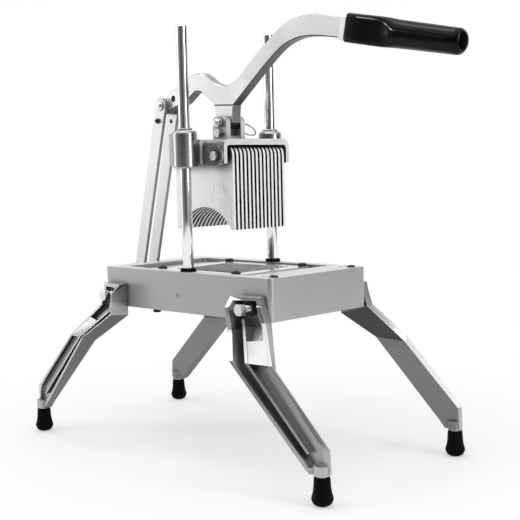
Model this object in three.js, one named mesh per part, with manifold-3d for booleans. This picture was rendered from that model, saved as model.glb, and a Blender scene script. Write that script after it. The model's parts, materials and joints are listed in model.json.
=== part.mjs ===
// A countertop dicer worked by a hand lever, in millimetres, Z up.
// X runs across the machine, the handle points to -Y and the table top is Z = 0.
// A head slides on two rods. It carries a block of slats that presses food through a row of blades.
import * as THREE from 'three';
import { mergeVertices } from 'three/addons/utils/BufferGeometryUtils.js';
import Module from 'manifold-3d';

const wasm = await Module();
wasm.setup();

// Overall layout
const tableHeight = 0;
const deckHeight = 215;
const rodTopHeight = 495.6;
const rodSpacing = 142;
const pivotHeight = 386;
const seatGap = 0.3;
const turningGap = 0.35;
const overrun = 4;
const roundSides = 28;
const smallSides = 16;
const cornerSteps = 4;
const wireSides = 8;

// Base frame, a casting open underneath
const rodInset = 10.3;
const baseFront = 139;
const bracketLedge = 3.5;
const baseSkirt = 47;
const baseWall = 6;
const baseCorner = 6;
const frontRim = 44;
const rearRim = 24.5;
const recessDepth = 5;
const recessCorner = 5;
const deckFloor = 6;
const rodBossWall = 4.05;
const rodBossDrop = 16;
const deckScrewInset = 16.3;
const deckScrewBack = 21;
const deckScrewDiameter = 7;
const deckScrewSink = 11;
const deckScrewSinkDepth = 3;

// Guide rods with a rubber ring at the foot and a screw from below the deck
const rodDiameter = 12.7;
const rodChamfer = 1.5;
const rodRingWall = 2.6;
const rodRingHeight = 3.6;
const rodRingWallShare = 0.6;
const rodSeat = 5;
const rodScrewGrip = 13;

// Blades and their carrier
const slicePitch = 6.35;
const gapCount = 13;
const bladeThickness = 1;
const bladeHeight = 14;
const bladeToothHeight = 3;
const bladeToothPitch = 9;
const bladeClearance = 0.3;
const carrierFlange = 3;
const carrierLip = 13;
const carrierSideLip = 12.375;
const recessSideGap = 3.55;
const carrierWall = 5;
const carrierDrop = 16;
const windowSide = 2.2;
const windowEnd = 3.2;
const bladeSeat = 3;
const carrierScrewOffset = 6;
const knobDiameter = 11;
const knobHeight = 3.6;
const knobShank = 5;
const knobRimShare = 0.7;

// Sliding head
const hoodClear = 6.125;
const hoodDepth = 93;
const pivotRise = 20;
const hoodPlate = 7;
const hoodWall = 5;
const hoodSkirt = 28;
const hoodCorner = 9;
const housingDiameter = 28;
const housingRise = 10.7;
const housingDrop = 32.6;
const housingShoulder = 3.4;
const housingRib = 4;
const housingRibReach = 3;
const armDepth = 22;
const armLap = 3;
const slideGap = 0.3;
const bushingWall = 2.55;
const bushingLip = 2.5;
const padRadius = 11;
const padProud = 1.5;
const earClearance = 1.4;
const earThickness = 6.8;
const earDepth = 23;
const earOver = 7.7;
const earChamfer = 4;

// Pusher block: slats with gaps between them and an arch below
const slatGap = 3.15;
const pusherDepth = 96.8;
const pusherDrop = 96.7;
const pusherBack = 12.7;
const pusherCorner = 11;
const slatReach = 15;
const slatRoundSteps = 4;
const archLand = 4.4;
const archRise = 26;
const pusherBoltBack = 34.6;
const pusherBoltDrop = 19;
const boltShank = 6;
const boltHeadAcross = 10;
const boltHeadHeight = 4;
const washerDiameter = 13;
const washerHeight = 1.2;
const boltBite = 7;

// Cross bolt through the ears below the lever
const crossBoltDrop = 11.9;
const crossBoltShank = 6;
const crossBoltAcross = 9;
const crossBoltHeadHeight = 5;
const crossNutHeight = 4;

// Clevis pin and its wire ring
const pinDiameter = 8;
const pinHeadDiameter = 10.4;
const pinHeadHeight = 7.5;
const pinHeadRimShare = 0.7;
const pinTipDiameter = 6;
const pinTipReach = 9.4;
const ringWire = 1.5;
const ringRadius = 11.8;
const ringHole = 3.2;
const ringHoleInset = 4;
const ringDroop = 0.64;

// Lever, a flat casting with an S shape; the places are measured from its pivot
const leverThickness = 13.4;
const leverReach = 182;
const leverRise = 111;
const leverTail = 108.6;
const leverTailRise = 26.1;
const eyeRadius = 10;
const eyeHole = 10;
const lugProud = 0.4;
const lugRadius = 8.4;
const lugFront = 12.6;
const lugRear = 12;
const lugEdge = 0.7;
const bossClearance = 0.6;
const lightHole = 8;
const leverEdge = 1.2;
const leverSteps = 5;

// Grip, its ferrule and the tang inside
const gripSlope = 0.2025;
const gripDrop = 18.4;
const ferruleLength = 7.4;
const gripBlockLength = 53;
const gripBlockHeight = 31;
const gripBlockWidth = 25;
const gripBlockCorner = 4;
const gripDiameter = 29.6;
const gripTipDiameter = 26.6;
const gripLength = 141.5;
const gripTipRound = 6.5;
const tangLength = 46;
const tangHeight = 20;
const tangInset = 0.7;

// Twin link bars from the lever's tail to the rear bracket
const linkGap = 17.2;
const linkThickness = 4.4;
const linkTopRadius = 10;
const linkBottomRadius = 8.5;
const linkFootBack = 21.5;
const linkFootDrop = 25;
const linkPinDiameter = 8;
const linkPinHead = 12;
const linkPinHeadHeight = 3.4;
const linkPinRimShare = 0.7;
const linkScrewDrop = 19;
const linkScrewDiameter = 5;
const linkScrewHead = 8.4;
const linkEdge = 0.7;
const bracketWidth = 60;
const bracketHeight = 28;
const bracketPlate = 6;
const bracketLugRadius = 9.5;
const bracketScrewOffset = 21;

// Legs, channel castings that spread sideways and lengthways
const legSpread = 50;
const legStride = 150;
const legTopDrop = 19;
const legMountBack = 42;
const legFlange = 4.6;
const legWeb = 3.6;
const legBottom = 31;
const legBoltDrop = 32;
const legBoltBack = 19;
const legBoltShank = 8;
const legBoltAcross = 12;
const legBoltHeadHeight = 7;
const legWasherDiameter = 17;
const legWasherHeight = 5;
const legBoltStand = 10;
const legBossRadius = 8.6;
const legBossHeight = 9.5;

// Rubber feet on studs
const footTopRadius = 8.6;
const footBulgeRadius = 11.2;
const footFlatRadius = 5;
const footStud = 6;
const footStudGrip = 7;
const footNeckRadius = 6.4;
const footNeckHeight = 1.6;

// Worked-out sizes that several pieces share
const rodX = rodSpacing / 2;
const baseHalf = rodX + rodInset;
const baseRear = baseFront + bracketLedge;
const recessFront = baseFront - frontRim;
const recessRear = baseRear - rearRim;
const baseBottom = deckHeight - baseSkirt;
const recessFloor = deckHeight - recessDepth;
const deckUnderside = recessFloor - deckFloor;
const rodBossRadius = rodDiameter / 2 + rodBossWall;
const rodBossBottom = deckUnderside - rodBossDrop;
const rodBottom = rodBossBottom + rodSeat + seatGap;
const slatThickness = slicePitch - slatGap;
const pusherWidth = gapCount * slicePitch + slatThickness;
const archHalfChord = pusherDepth / 2 - archLand;
const hoodHalf = pusherWidth / 2 + hoodClear + hoodWall;
const hoodTop = pivotHeight - pivotRise;
const hoodCeiling = hoodTop - hoodPlate;
const housingTop = hoodTop + housingRise;
const housingBottom = hoodTop - housingDrop;
const bushingBore = rodDiameter + 2 * slideGap;
const bushingDiameter = bushingBore + 2 * bushingWall;
const lugThickness = leverThickness + 2 * lugProud;
const earInner = lugThickness / 2 + earClearance;
const earHeight = pivotRise + earOver;
const tangWidth = leverThickness - 2 * tangInset;
const pusherTop = hoodCeiling - seatGap;
const pusherBottom = pusherTop - pusherDrop;
const windowHalfWidth = pusherWidth / 2 + windowSide;
const windowHalfDepth = pusherDepth / 2 + windowEnd;
const carrierHalfWidth = windowHalfWidth + carrierWall;
const carrierHalfDepth = windowHalfDepth + carrierWall;
const flangeHalfWidth = carrierHalfWidth + carrierSideLip;
const recessHalfWidth = flangeHalfWidth + recessSideGap;
const carrierBottom = recessFloor - carrierDrop;
const carrierTop = recessFloor + seatGap + carrierFlange;
const linkPivotY = baseRear + linkFootBack;
const linkPivotZ = deckHeight - linkFootDrop;
const linkTopY = leverTail;
const linkTopZ = pivotHeight + leverTailRise;
const linkInner = linkGap / 2;
const linkOuter = linkInner + linkThickness;
const tailBoss = linkGap - 2 * bossClearance;
const legMountY = baseFront - legMountBack;
const legRise = deckHeight - legTopDrop - legBottom;

const castAluminium = new THREE.MeshStandardMaterial({ color: 0xb9babc, roughness: 0.42, metalness: 0.85 });
const brightAluminium = new THREE.MeshStandardMaterial({ color: 0xc9cacc, roughness: 0.35, metalness: 0.85 });
const stainless = new THREE.MeshStandardMaterial({ color: 0xc4c6c9, roughness: 0.22, metalness: 1 });
const bladeSteel = new THREE.MeshStandardMaterial({ color: 0xd4d6d9, roughness: 0.16, metalness: 1 });
const darkSteel = new THREE.MeshStandardMaterial({ color: 0x2a2a2c, roughness: 0.45, metalness: 0.6 });
const blackRubber = new THREE.MeshStandardMaterial({ color: 0x141415, roughness: 0.7, metalness: 0 });
const blackPlastic = new THREE.MeshStandardMaterial({ color: 0x0c0c0d, roughness: 0.22, metalness: 0 });
const bearingBronze = new THREE.MeshStandardMaterial({ color: 0xa88a55, roughness: 0.4, metalness: 0.9 });

const machine = new THREE.Group();

// A closed mesh becomes a solid for joining and cutting.
function toSolid(geometry) {
  const bare = geometry.clone();
  bare.deleteAttribute('normal');
  bare.deleteAttribute('uv');
  const merged = mergeVertices(bare);
  return new wasm.Manifold(new wasm.Mesh({
    numProp: 3,
    vertProperties: new Float32Array(merged.attributes.position.array),
    triVerts: new Uint32Array(merged.index.array),
  }));
}

function toGeometry(solid) {
  const found = solid.getMesh();
  const geometry = new THREE.BufferGeometry();
  const places = new Float32Array(found.vertProperties);
  geometry.setAttribute('position', new THREE.BufferAttribute(places, found.numProp));
  geometry.setIndex(new THREE.BufferAttribute(new Uint32Array(found.triVerts), 1));
  return geometry;
}

function joined(...geometries) {
  return geometries.map(toSolid).reduce((sum, next) => sum.add(next));
}

function withCuts(solid, ...geometries) {
  return geometries.map(toSolid).reduce((rest, tool) => rest.subtract(tool), solid);
}

function addPiece(name, shape, material) {
  const geometry = shape.isBufferGeometry ? shape : toGeometry(shape);
  const mesh = new THREE.Mesh(geometry, material);
  mesh.name = name;
  machine.add(mesh);
  return mesh;
}

function box(x, y, z) {
  const geometry = new THREE.BoxGeometry(1, 1, 1);
  geometry.scale(x[1] - x[0], y[1] - y[0], z[1] - z[0]);
  geometry.translate((x[0] + x[1]) / 2, (y[0] + y[1]) / 2, (z[0] + z[1]) / 2);
  return geometry;
}

// A profile of [radius, height] points turned about the vertical line through x, y.
function turned(profile, x, y, sides) {
  const points = profile.map(([radius, height]) => new THREE.Vector2(radius, height));
  const geometry = new THREE.LatheGeometry(points, sides);
  geometry.rotateX(Math.PI / 2);
  geometry.translate(x, y, 0);
  return geometry;
}

function upright(radius, bottom, top, x, y, sides = roundSides) {
  return turned([[0, bottom], [radius, bottom], [radius, top], [0, top]], x, y, sides);
}

// The same turned profile laid along X, with its heights as X places.
function turnedAlongX(profile, y, z, sides) {
  const geometry = turned(profile, 0, 0, sides);
  geometry.rotateY(Math.PI / 2);
  geometry.translate(0, y, z);
  return geometry;
}

function across(radius, from, to, y, z, sides = roundSides) {
  return turnedAlongX([[0, from], [radius, from], [radius, to], [0, to]], y, z, sides);
}

// An outline in X and Y, raised from one height to another.
function raised(shape, bottom, top) {
  const geometry = new THREE.ExtrudeGeometry(shape, {
    depth: top - bottom, bevelEnabled: false, curveSegments: cornerSteps,
  });
  geometry.translate(0, 0, bottom);
  return geometry;
}

// An outline in Y and Z, spread along X from one place to another, with its edges eased.
function spread(shape, from, to, edge = 0, steps = cornerSteps) {
  const geometry = new THREE.ExtrudeGeometry(shape, {
    depth: to - from - 2 * edge,
    bevelEnabled: edge > 0,
    bevelThickness: edge,
    bevelSize: edge,
    bevelOffset: -edge,
    bevelSegments: 1,
    curveSegments: steps,
  });
  geometry.rotateX(Math.PI / 2);
  geometry.rotateZ(Math.PI / 2);
  geometry.translate(from + edge, 0, 0);
  return geometry;
}

function roundedRectangle(x, y, radius) {
  const shape = new THREE.Shape();
  shape.moveTo(x[0] + radius, y[0]);
  shape.lineTo(x[1] - radius, y[0]);
  shape.absarc(x[1] - radius, y[0] + radius, radius, -Math.PI / 2, 0, false);
  shape.lineTo(x[1], y[1] - radius);
  shape.absarc(x[1] - radius, y[1] - radius, radius, 0, Math.PI / 2, false);
  shape.lineTo(x[0] + radius, y[1]);
  shape.absarc(x[0] + radius, y[1] - radius, radius, Math.PI / 2, Math.PI, false);
  shape.lineTo(x[0], y[0] + radius);
  shape.absarc(x[0] + radius, y[0] + radius, radius, Math.PI, Math.PI * 3 / 2, false);
  return shape;
}

// A hexagon with a washer face below, standing on its seat and turned to the given across-flats size.
function hexHead(acrossFlats, bottom, top, x, y) {
  const corner = acrossFlats / 2 / Math.cos(Math.PI / 6);
  return upright(corner, bottom, top, x, y, 6);
}

function mirroredCopy(geometry, signX, signY) {
  const copy = geometry.clone();
  copy.scale(signX, signY, 1);
  if (signX * signY < 0) {
    const index = copy.index.array;
    for (let i = 0; i < index.length; i += 3) {
      [index[i], index[i + 1]] = [index[i + 1], index[i]];
    }
  }
  return copy;
}

// Four-cornered stations joined one after another into a closed bar.
function loft(stations) {
  const corners = stations.flat();
  const triangles = [];
  const quad = (a, b, c, d) => triangles.push(a, c, b, a, d, c);
  for (let i = 0; i < stations.length - 1; i += 1) {
    for (let j = 0; j < 4; j += 1) {
      const next = (j + 1) % 4;
      quad(4 * i + j, 4 * i + next, 4 * i + 4 + next, 4 * i + 4 + j);
    }
  }
  const last = 4 * (stations.length - 1);
  quad(3, 2, 1, 0);
  quad(last, last + 1, last + 2, last + 3);
  const geometry = new THREE.BufferGeometry();
  const positions = corners.flatMap((corner) => corner.toArray());
  geometry.setAttribute('position', new THREE.Float32BufferAttribute(positions, 3));
  geometry.setIndex(triangles);
  return geometry;
}

const sides = [['left', -1], ['right', 1]];

function makeBaseFrame() {
  const outline = roundedRectangle([-baseHalf, baseHalf], [-baseFront, baseRear], baseCorner);
  const innerX = baseHalf - baseWall;
  const cavity = roundedRectangle(
    [-innerX, innerX],
    [-baseFront + baseWall, baseRear - baseWall],
    recessCorner,
  );
  const recess = roundedRectangle(
    [-recessHalfWidth, recessHalfWidth],
    [-recessFront, recessRear],
    recessCorner,
  );
  const well = roundedRectangle(
    [-carrierHalfWidth - seatGap, carrierHalfWidth + seatGap],
    [-carrierHalfDepth - seatGap, carrierHalfDepth + seatGap],
    recessCorner,
  );
  let frame = withCuts(
    toSolid(raised(outline, baseBottom, deckHeight)),
    raised(cavity, baseBottom - overrun, deckUnderside),
    raised(recess, recessFloor, deckHeight + overrun),
    raised(well, deckUnderside - overrun, recessFloor + overrun),
  );
  for (const [, side] of sides) {
    const boss = upright(rodBossRadius, rodBossBottom, deckHeight, side * rodX, 0);
    const bossWall = box(
      [
        Math.min(side * rodX, side * innerX) - overrun / 2,
        Math.max(side * rodX, side * innerX) + overrun / 2,
      ],
      [-rodBossRadius, rodBossRadius],
      [rodBossBottom, deckUnderside + overrun / 2],
    );
    const body = toSolid(raised(outline, baseBottom, deckHeight));
    frame = frame.add(joined(boss, bossWall).intersect(body));
    frame = withCuts(
      frame,
      upright(rodDiameter / 2 + seatGap, rodBottom - seatGap, deckHeight + overrun, side * rodX, 0),
      upright(boltShank / 2 + seatGap, rodBossBottom - overrun, deckHeight, side * rodX, 0, smallSides),
      upright(washerDiameter / 2 + seatGap, baseBottom - overrun, rodBossBottom, side * rodX, 0),
    );
    const screwX = side * (baseHalf - deckScrewInset);
    const screwY = -baseFront + deckScrewBack;
    frame = withCuts(
      frame,
      upright(deckScrewDiameter / 2, baseBottom, deckHeight + overrun, screwX, screwY, smallSides),
      turned([
        [0, deckHeight - deckScrewSinkDepth],
        [deckScrewDiameter / 2, deckHeight - deckScrewSinkDepth],
        [deckScrewSink / 2, deckHeight],
        [deckScrewSink / 2, deckHeight + overrun],
        [0, deckHeight + overrun],
      ], screwX, screwY, smallSides),
    );
    for (const end of [-1, 1]) {
      const boltY = end * (legMountY + legBoltBack);
      frame = withCuts(
        frame,
        across(legBoltShank / 2 + seatGap, side * baseHalf - baseWall - overrun,
          side * baseHalf + baseWall + overrun, boltY, deckHeight - legBoltDrop, smallSides),
        upright(knobShank / 2 + seatGap, deckUnderside - overrun, recessFloor + overrun,
          ...carrierScrewPlace(side, end), smallSides),
      );
    }
  }
  for (const [, side] of sides) {
    const hole = across(boltShank / 2 + seatGap, -baseWall - overrun, baseWall + overrun, 0, 0, smallSides);
    hole.rotateZ(Math.PI / 2);
    hole.translate(side * bracketScrewOffset, baseRear, linkPivotZ);
    frame = withCuts(frame, hole);
  }
  addPiece('base_frame', frame, castAluminium);
}

function carrierScrewPlace(side, end) {
  return [side * (carrierHalfWidth + carrierScrewOffset), end * (carrierHalfDepth + carrierScrewOffset)];
}

function makeRods() {
  for (const [label, side] of sides) {
    const x = side * rodX;
    const radius = rodDiameter / 2;
    addPiece(`guide_rod_${label}`, turned([
      [0, rodBottom + rodScrewGrip],
      [boltShank / 2 + seatGap, rodBottom + rodScrewGrip],
      [boltShank / 2 + seatGap, rodBottom],
      [radius, rodBottom],
      [radius, rodTopHeight - rodChamfer],
      [radius - rodChamfer, rodTopHeight],
      [0, rodTopHeight],
    ], x, 0, roundSides), stainless);
    const ringBottom = deckHeight + seatGap;
    const ringInner = radius + seatGap;
    const ringOuter = ringInner + rodRingWall;
    addPiece(`rod_ring_${label}`, turned([
      [ringInner, ringBottom],
      [ringOuter, ringBottom],
      [ringOuter, ringBottom + rodRingHeight * rodRingWallShare],
      [ringOuter - rodRingWall / 3, ringBottom + rodRingHeight],
      [ringInner, ringBottom + rodRingHeight],
      [ringInner, ringBottom],
    ], x, 0, roundSides), blackRubber);
    const seat = rodBossBottom - seatGap;
    const headTop = seat - washerHeight;
    addPiece(`rod_screw_${label}`, joined(
      upright(boltShank / 2, headTop - boltHeadHeight, rodBottom + rodScrewGrip - seatGap, x, 0, smallSides),
      upright(washerDiameter / 2, headTop, seat, x, 0, smallSides),
      hexHead(boltHeadAcross, headTop - boltHeadHeight, headTop, x, 0),
    ), stainless);
  }
}

function makeCarrier() {
  const flangeY = carrierHalfDepth + carrierLip;
  const flangeBottom = recessFloor + seatGap;
  let carrier = joined(
    raised(
      roundedRectangle([-flangeHalfWidth, flangeHalfWidth], [-flangeY, flangeY], recessCorner),
      flangeBottom,
      carrierTop,
    ),
    raised(
      roundedRectangle(
        [-carrierHalfWidth, carrierHalfWidth],
        [-carrierHalfDepth, carrierHalfDepth],
        recessCorner,
      ),
      carrierBottom,
      carrierTop,
    ),
  );
  carrier = withCuts(carrier, box(
    [-windowHalfWidth, windowHalfWidth],
    [-windowHalfDepth, windowHalfDepth],
    [carrierBottom - overrun, carrierTop + overrun],
  ));
  for (const [, side] of sides) {
    carrier = withCuts(carrier,
      upright(rodBossRadius + seatGap, carrierBottom, carrierTop + overrun, side * rodX, 0));
    for (const end of [-1, 1]) {
      const place = carrierScrewPlace(side, end);
      carrier = withCuts(carrier,
        upright(knobShank / 2 + seatGap, flangeBottom - overrun, carrierTop + overrun, ...place, smallSides));
    }
  }
  for (let i = 0; i < gapCount; i += 1) {
    const x = (i - (gapCount - 1) / 2) * slicePitch;
    const half = bladeThickness / 2 + bladeClearance;
    carrier = withCuts(carrier, box(
      [x - half, x + half],
      [-windowHalfDepth - bladeSeat - bladeClearance, windowHalfDepth + bladeSeat + bladeClearance],
      [carrierBottom + bladeSeat, carrierTop + overrun],
    ));
  }
  addPiece('blade_carrier', carrier, stainless);
}

function makeBlades() {
  const halfLength = windowHalfDepth + bladeSeat;
  const bottom = carrierBottom + bladeSeat + bladeClearance;
  const root = bottom + bladeHeight;
  const toothCount = Math.round(2 * windowHalfDepth / bladeToothPitch);
  const step = 2 * windowHalfDepth / toothCount;
  for (let i = 0; i < gapCount; i += 1) {
    const shape = new THREE.Shape();
    shape.moveTo(-halfLength, bottom);
    shape.lineTo(halfLength, bottom);
    shape.lineTo(halfLength, root);
    for (let j = 0; j < toothCount; j += 1) {
      const start = windowHalfDepth - j * step;
      shape.lineTo(start, root);
      shape.lineTo(start - step / 2, root + bladeToothHeight);
    }
    shape.lineTo(-windowHalfDepth, root);
    shape.lineTo(-halfLength, root);
    const x = (i - (gapCount - 1) / 2) * slicePitch;
    const number = String(i + 1).padStart(2, '0');
    addPiece(`blade_${number}`, spread(shape, x - bladeThickness / 2, x + bladeThickness / 2), bladeSteel);
  }
  for (const [label, side] of sides) {
    for (const [where, end] of [['front', -1], ['rear', 1]]) {
      const [x, y] = carrierScrewPlace(side, end);
      const seat = carrierTop + seatGap;
      addPiece(`blade_knob_${where}_${label}`, turned([
        [0, deckUnderside],
        [knobShank / 2, deckUnderside],
        [knobShank / 2, seat],
        [knobDiameter / 2, seat],
        [knobDiameter / 2, seat + knobHeight * knobRimShare],
        [knobDiameter / 2 - knobHeight * (1 - knobRimShare), seat + knobHeight],
        [0, seat + knobHeight],
      ], x, y, smallSides), darkSteel);
    }
  }
}

function hoodOutline(halfWidth, bottom, top, radius) {
  const shape = new THREE.Shape();
  shape.moveTo(-halfWidth, bottom);
  shape.lineTo(halfWidth, bottom);
  shape.lineTo(halfWidth, top - radius);
  shape.absarc(halfWidth - radius, top - radius, radius, 0, Math.PI / 2, false);
  shape.lineTo(-halfWidth + radius, top);
  shape.absarc(-halfWidth + radius, top - radius, radius, Math.PI / 2, Math.PI, false);
  return shape;
}

// An outline in X and Z, drawn out along Y.
function deepened(shape, from, to) {
  const geometry = new THREE.ExtrudeGeometry(shape, {
    depth: to - from, bevelEnabled: false, curveSegments: cornerSteps,
  });
  geometry.rotateX(Math.PI / 2);
  geometry.translate(0, to, 0);
  return geometry;
}

function makeHead() {
  const half = hoodHalf;
  const skirtBottom = hoodTop - hoodSkirt;
  const boltZ = hoodTop - pusherBoltDrop;
  const hood = hoodOutline(half, skirtBottom, hoodTop, hoodCorner);
  let head = toSolid(deepened(hood, -hoodDepth / 2, hoodDepth / 2));
  for (const [, side] of sides) {
    const housing = turned([
      [0, housingBottom],
      [housingDiameter / 2 - housingShoulder / 2, housingBottom],
      [housingDiameter / 2, housingBottom + housingShoulder / 2],
      [housingDiameter / 2, housingTop - housingShoulder],
      [housingDiameter / 2 - housingShoulder / 3, housingTop - housingShoulder / 3],
      [housingDiameter / 2 - housingShoulder, housingTop],
      [0, housingTop],
    ], side * rodX, 0, roundSides);
    const armStart = side * (half - armLap);
    const armEnd = side * rodX;
    const arm = box(
      [Math.min(armStart, armEnd), Math.max(armStart, armEnd)],
      [-armDepth / 2, armDepth / 2],
      [skirtBottom, hoodTop],
    );
    const ribX = side * (rodX + housingDiameter / 4);
    const rib = box(
      [ribX - housingRib / 2, ribX + housingRib / 2],
      [0, housingDiameter / 2 + housingRibReach],
      [housingBottom + housingShoulder, housingTop - housingShoulder],
    );
    const padStart = side * (half - hoodWall);
    const padEnd = side * (half + padProud);
    const pad = across(padRadius, Math.min(padStart, padEnd), Math.max(padStart, padEnd),
      -pusherBoltBack, boltZ);
    head = head.add(joined(housing, arm, rib, pad));
  }
  head = withCuts(head, deepened(
    hoodOutline(half - hoodWall, housingBottom - overrun, hoodCeiling, hoodCorner - hoodWall),
    -hoodDepth / 2 - overrun,
    hoodDepth / 2 + overrun,
  ));
  for (const [, side] of sides) {
    const ear = new THREE.Shape();
    ear.moveTo(-earDepth / 2, hoodTop - hoodPlate / 2);
    ear.lineTo(earDepth / 2, hoodTop - hoodPlate / 2);
    ear.lineTo(earDepth / 2, hoodTop + earHeight - earChamfer);
    ear.lineTo(earDepth / 2 - earChamfer, hoodTop + earHeight);
    ear.lineTo(-earDepth / 2 + earChamfer, hoodTop + earHeight);
    ear.lineTo(-earDepth / 2, hoodTop + earHeight - earChamfer);
    const near = side * earInner;
    const far = side * (earInner + earThickness);
    head = head.add(toSolid(spread(ear, Math.min(near, far), Math.max(near, far))));
  }
  for (const [, side] of sides) {
    head = withCuts(
      head,
      upright(bushingDiameter / 2 + seatGap, housingBottom - overrun, housingTop + overrun, side * rodX, 0),
      across(boltShank / 2 + seatGap, side * half - hoodWall - overrun, side * half + hoodWall + overrun,
        -pusherBoltBack, boltZ, smallSides),
    );
  }
  const earFace = earInner + earThickness;
  head = withCuts(
    head,
    across(pinDiameter / 2 + seatGap, -earFace - overrun, earFace + overrun, 0, pivotHeight),
    across(crossBoltShank / 2 + seatGap, -earFace - overrun, earFace + overrun, 0,
      pivotHeight - crossBoltDrop, smallSides),
  );
  addPiece('head_casting', head, castAluminium);
}

function makeBushings() {
  for (const [label, side] of sides) {
    const outer = bushingDiameter / 2;
    const inner = bushingBore / 2;
    const top = housingTop + bushingLip;
    addPiece(`bushing_${label}`, turned([
      [inner, housingBottom],
      [outer, housingBottom],
      [outer, top - bushingLip / 3],
      [outer - bushingLip / 3, top],
      [inner, top],
      [inner, housingBottom],
    ], side * rodX, 0, roundSides), bearingBronze);
  }
}

function makePusher() {
  const halfDepth = pusherDepth / 2;
  const archRadius = (archHalfChord ** 2 + archRise ** 2) / (2 * archRise);
  const archCentre = pusherBottom + archRise - archRadius;
  const archAngle = Math.asin(archHalfChord / archRadius);
  const cornerZ = pusherTop - pusherCorner;
  const shape = new THREE.Shape();
  shape.moveTo(archHalfChord, pusherBottom);
  shape.lineTo(halfDepth, pusherBottom);
  for (const end of [1, -1]) {
    for (let i = 0; i <= slatRoundSteps; i += 1) {
      const turn = (end > 0 ? i : slatRoundSteps - i) / slatRoundSteps * Math.PI / 2;
      const out = halfDepth - pusherCorner + pusherCorner * Math.cos(turn);
      shape.lineTo(end * out, cornerZ + pusherCorner * Math.sin(turn));
    }
  }
  shape.lineTo(-halfDepth, pusherBottom);
  shape.lineTo(-archHalfChord, pusherBottom);
  shape.absarc(0, archCentre, archRadius, Math.PI / 2 + archAngle, Math.PI / 2 - archAngle, true);
  const block = spread(shape, -pusherWidth / 2, pusherWidth / 2, 0, roundSides / 2);
  let pusher = toSolid(block);
  for (let i = 0; i < gapCount; i += 1) {
    const x = (i - (gapCount - 1) / 2) * slicePitch;
    const gap = [x - slatGap / 2, x + slatGap / 2];
    const open = [pusherTop - pusherBack - overrun, pusherTop + overrun];
    pusher = withCuts(
      pusher,
      box(gap, [-halfDepth - overrun, halfDepth + overrun], [pusherBottom - overrun, pusherTop - pusherBack]),
      box(gap, [-halfDepth - overrun, slatReach - halfDepth], open),
      box(gap, [halfDepth - slatReach, halfDepth + overrun], open),
    );
  }
  const holeRadius = boltShank / 2 + seatGap;
  for (const [, side] of sides) {
    const outer = side * (pusherWidth / 2 + overrun);
    const inner = side * (pusherWidth / 2 - boltBite - seatGap);
    pusher = withCuts(
      pusher,
      across(holeRadius, Math.min(outer, inner), Math.max(outer, inner), -pusherBoltBack,
        hoodTop - pusherBoltDrop, smallSides),
    );
  }
  addPiece('pusher_block', pusher, brightAluminium);
}

function makePusherBolts() {
  for (const [label, side] of sides) {
    const face = hoodHalf + padProud + seatGap;
    const washerEnd = face + washerHeight;
    const corner = boltHeadAcross / 2 / Math.cos(Math.PI / 6);
    const z = hoodTop - pusherBoltDrop;
    const place = (from, to) => [Math.min(side * from, side * to), Math.max(side * from, side * to)];
    const bolt = joined(
      across(boltShank / 2, ...place(pusherWidth / 2 - boltBite, washerEnd + boltHeadHeight),
        -pusherBoltBack, z, smallSides),
      across(washerDiameter / 2, ...place(face, washerEnd), -pusherBoltBack, z, smallSides),
      across(corner, ...place(washerEnd, washerEnd + boltHeadHeight), -pusherBoltBack, z, 6),
    );
    addPiece(`pusher_bolt_${label}`, bolt, stainless);
  }
}

function makeCrossBolt() {
  const face = earInner + earThickness + seatGap;
  const z = pivotHeight - crossBoltDrop;
  const corner = crossBoltAcross / 2 / Math.cos(Math.PI / 6);
  addPiece('cross_bolt', joined(
    across(crossBoltShank / 2, -face - crossBoltHeadHeight, face + crossNutHeight, 0, z, smallSides),
    across(corner, -face - crossBoltHeadHeight, -face, 0, z, 6),
    across(corner, face, face + crossNutHeight, 0, z, 6),
  ), stainless);
}

function makeClevisPin() {
  const earFace = earInner + earThickness;
  const headSeat = earFace + seatGap;
  const tip = earFace + pinTipReach;
  const radius = pinDiameter / 2;
  const body = turnedAlongX([
    [0, -headSeat - pinHeadHeight],
    [pinHeadDiameter / 2 - pinHeadHeight / 4, -headSeat - pinHeadHeight],
    [pinHeadDiameter / 2, -headSeat - pinHeadHeight * pinHeadRimShare],
    [pinHeadDiameter / 2, -headSeat],
    [radius, -headSeat],
    [radius, earFace],
    [pinTipDiameter / 2, earFace + seatGap],
    [pinTipDiameter / 2, tip],
    [0, tip],
  ], 0, pivotHeight, roundSides);
  const holeX = tip - ringHoleInset;
  const hole = upright(ringHole / 2, -pinDiameter, pinDiameter, 0, 0, smallSides);
  hole.rotateX(Math.PI / 2);
  hole.translate(holeX, 0, pivotHeight);
  addPiece('clevis_pin', withCuts(toSolid(body), hole), stainless);

  const wire = ringWire / 2;
  const profile = [];
  for (let i = 0; i <= wireSides; i += 1) {
    const angle = i / wireSides * Math.PI * 2;
    profile.push(new THREE.Vector2(ringRadius + wire * Math.cos(angle), wire * Math.sin(angle)));
  }
  profile[wireSides].copy(profile[0]);
  const ring = addPiece('pin_ring', new THREE.LatheGeometry(profile, roundSides), stainless);
  ring.geometry.rotateX(Math.PI / 2);
  ring.geometry.translate(ringRadius, 0, 0);
  ring.rotation.y = ringDroop;
  ring.position.set(holeX, 0, pivotHeight);
}

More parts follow.
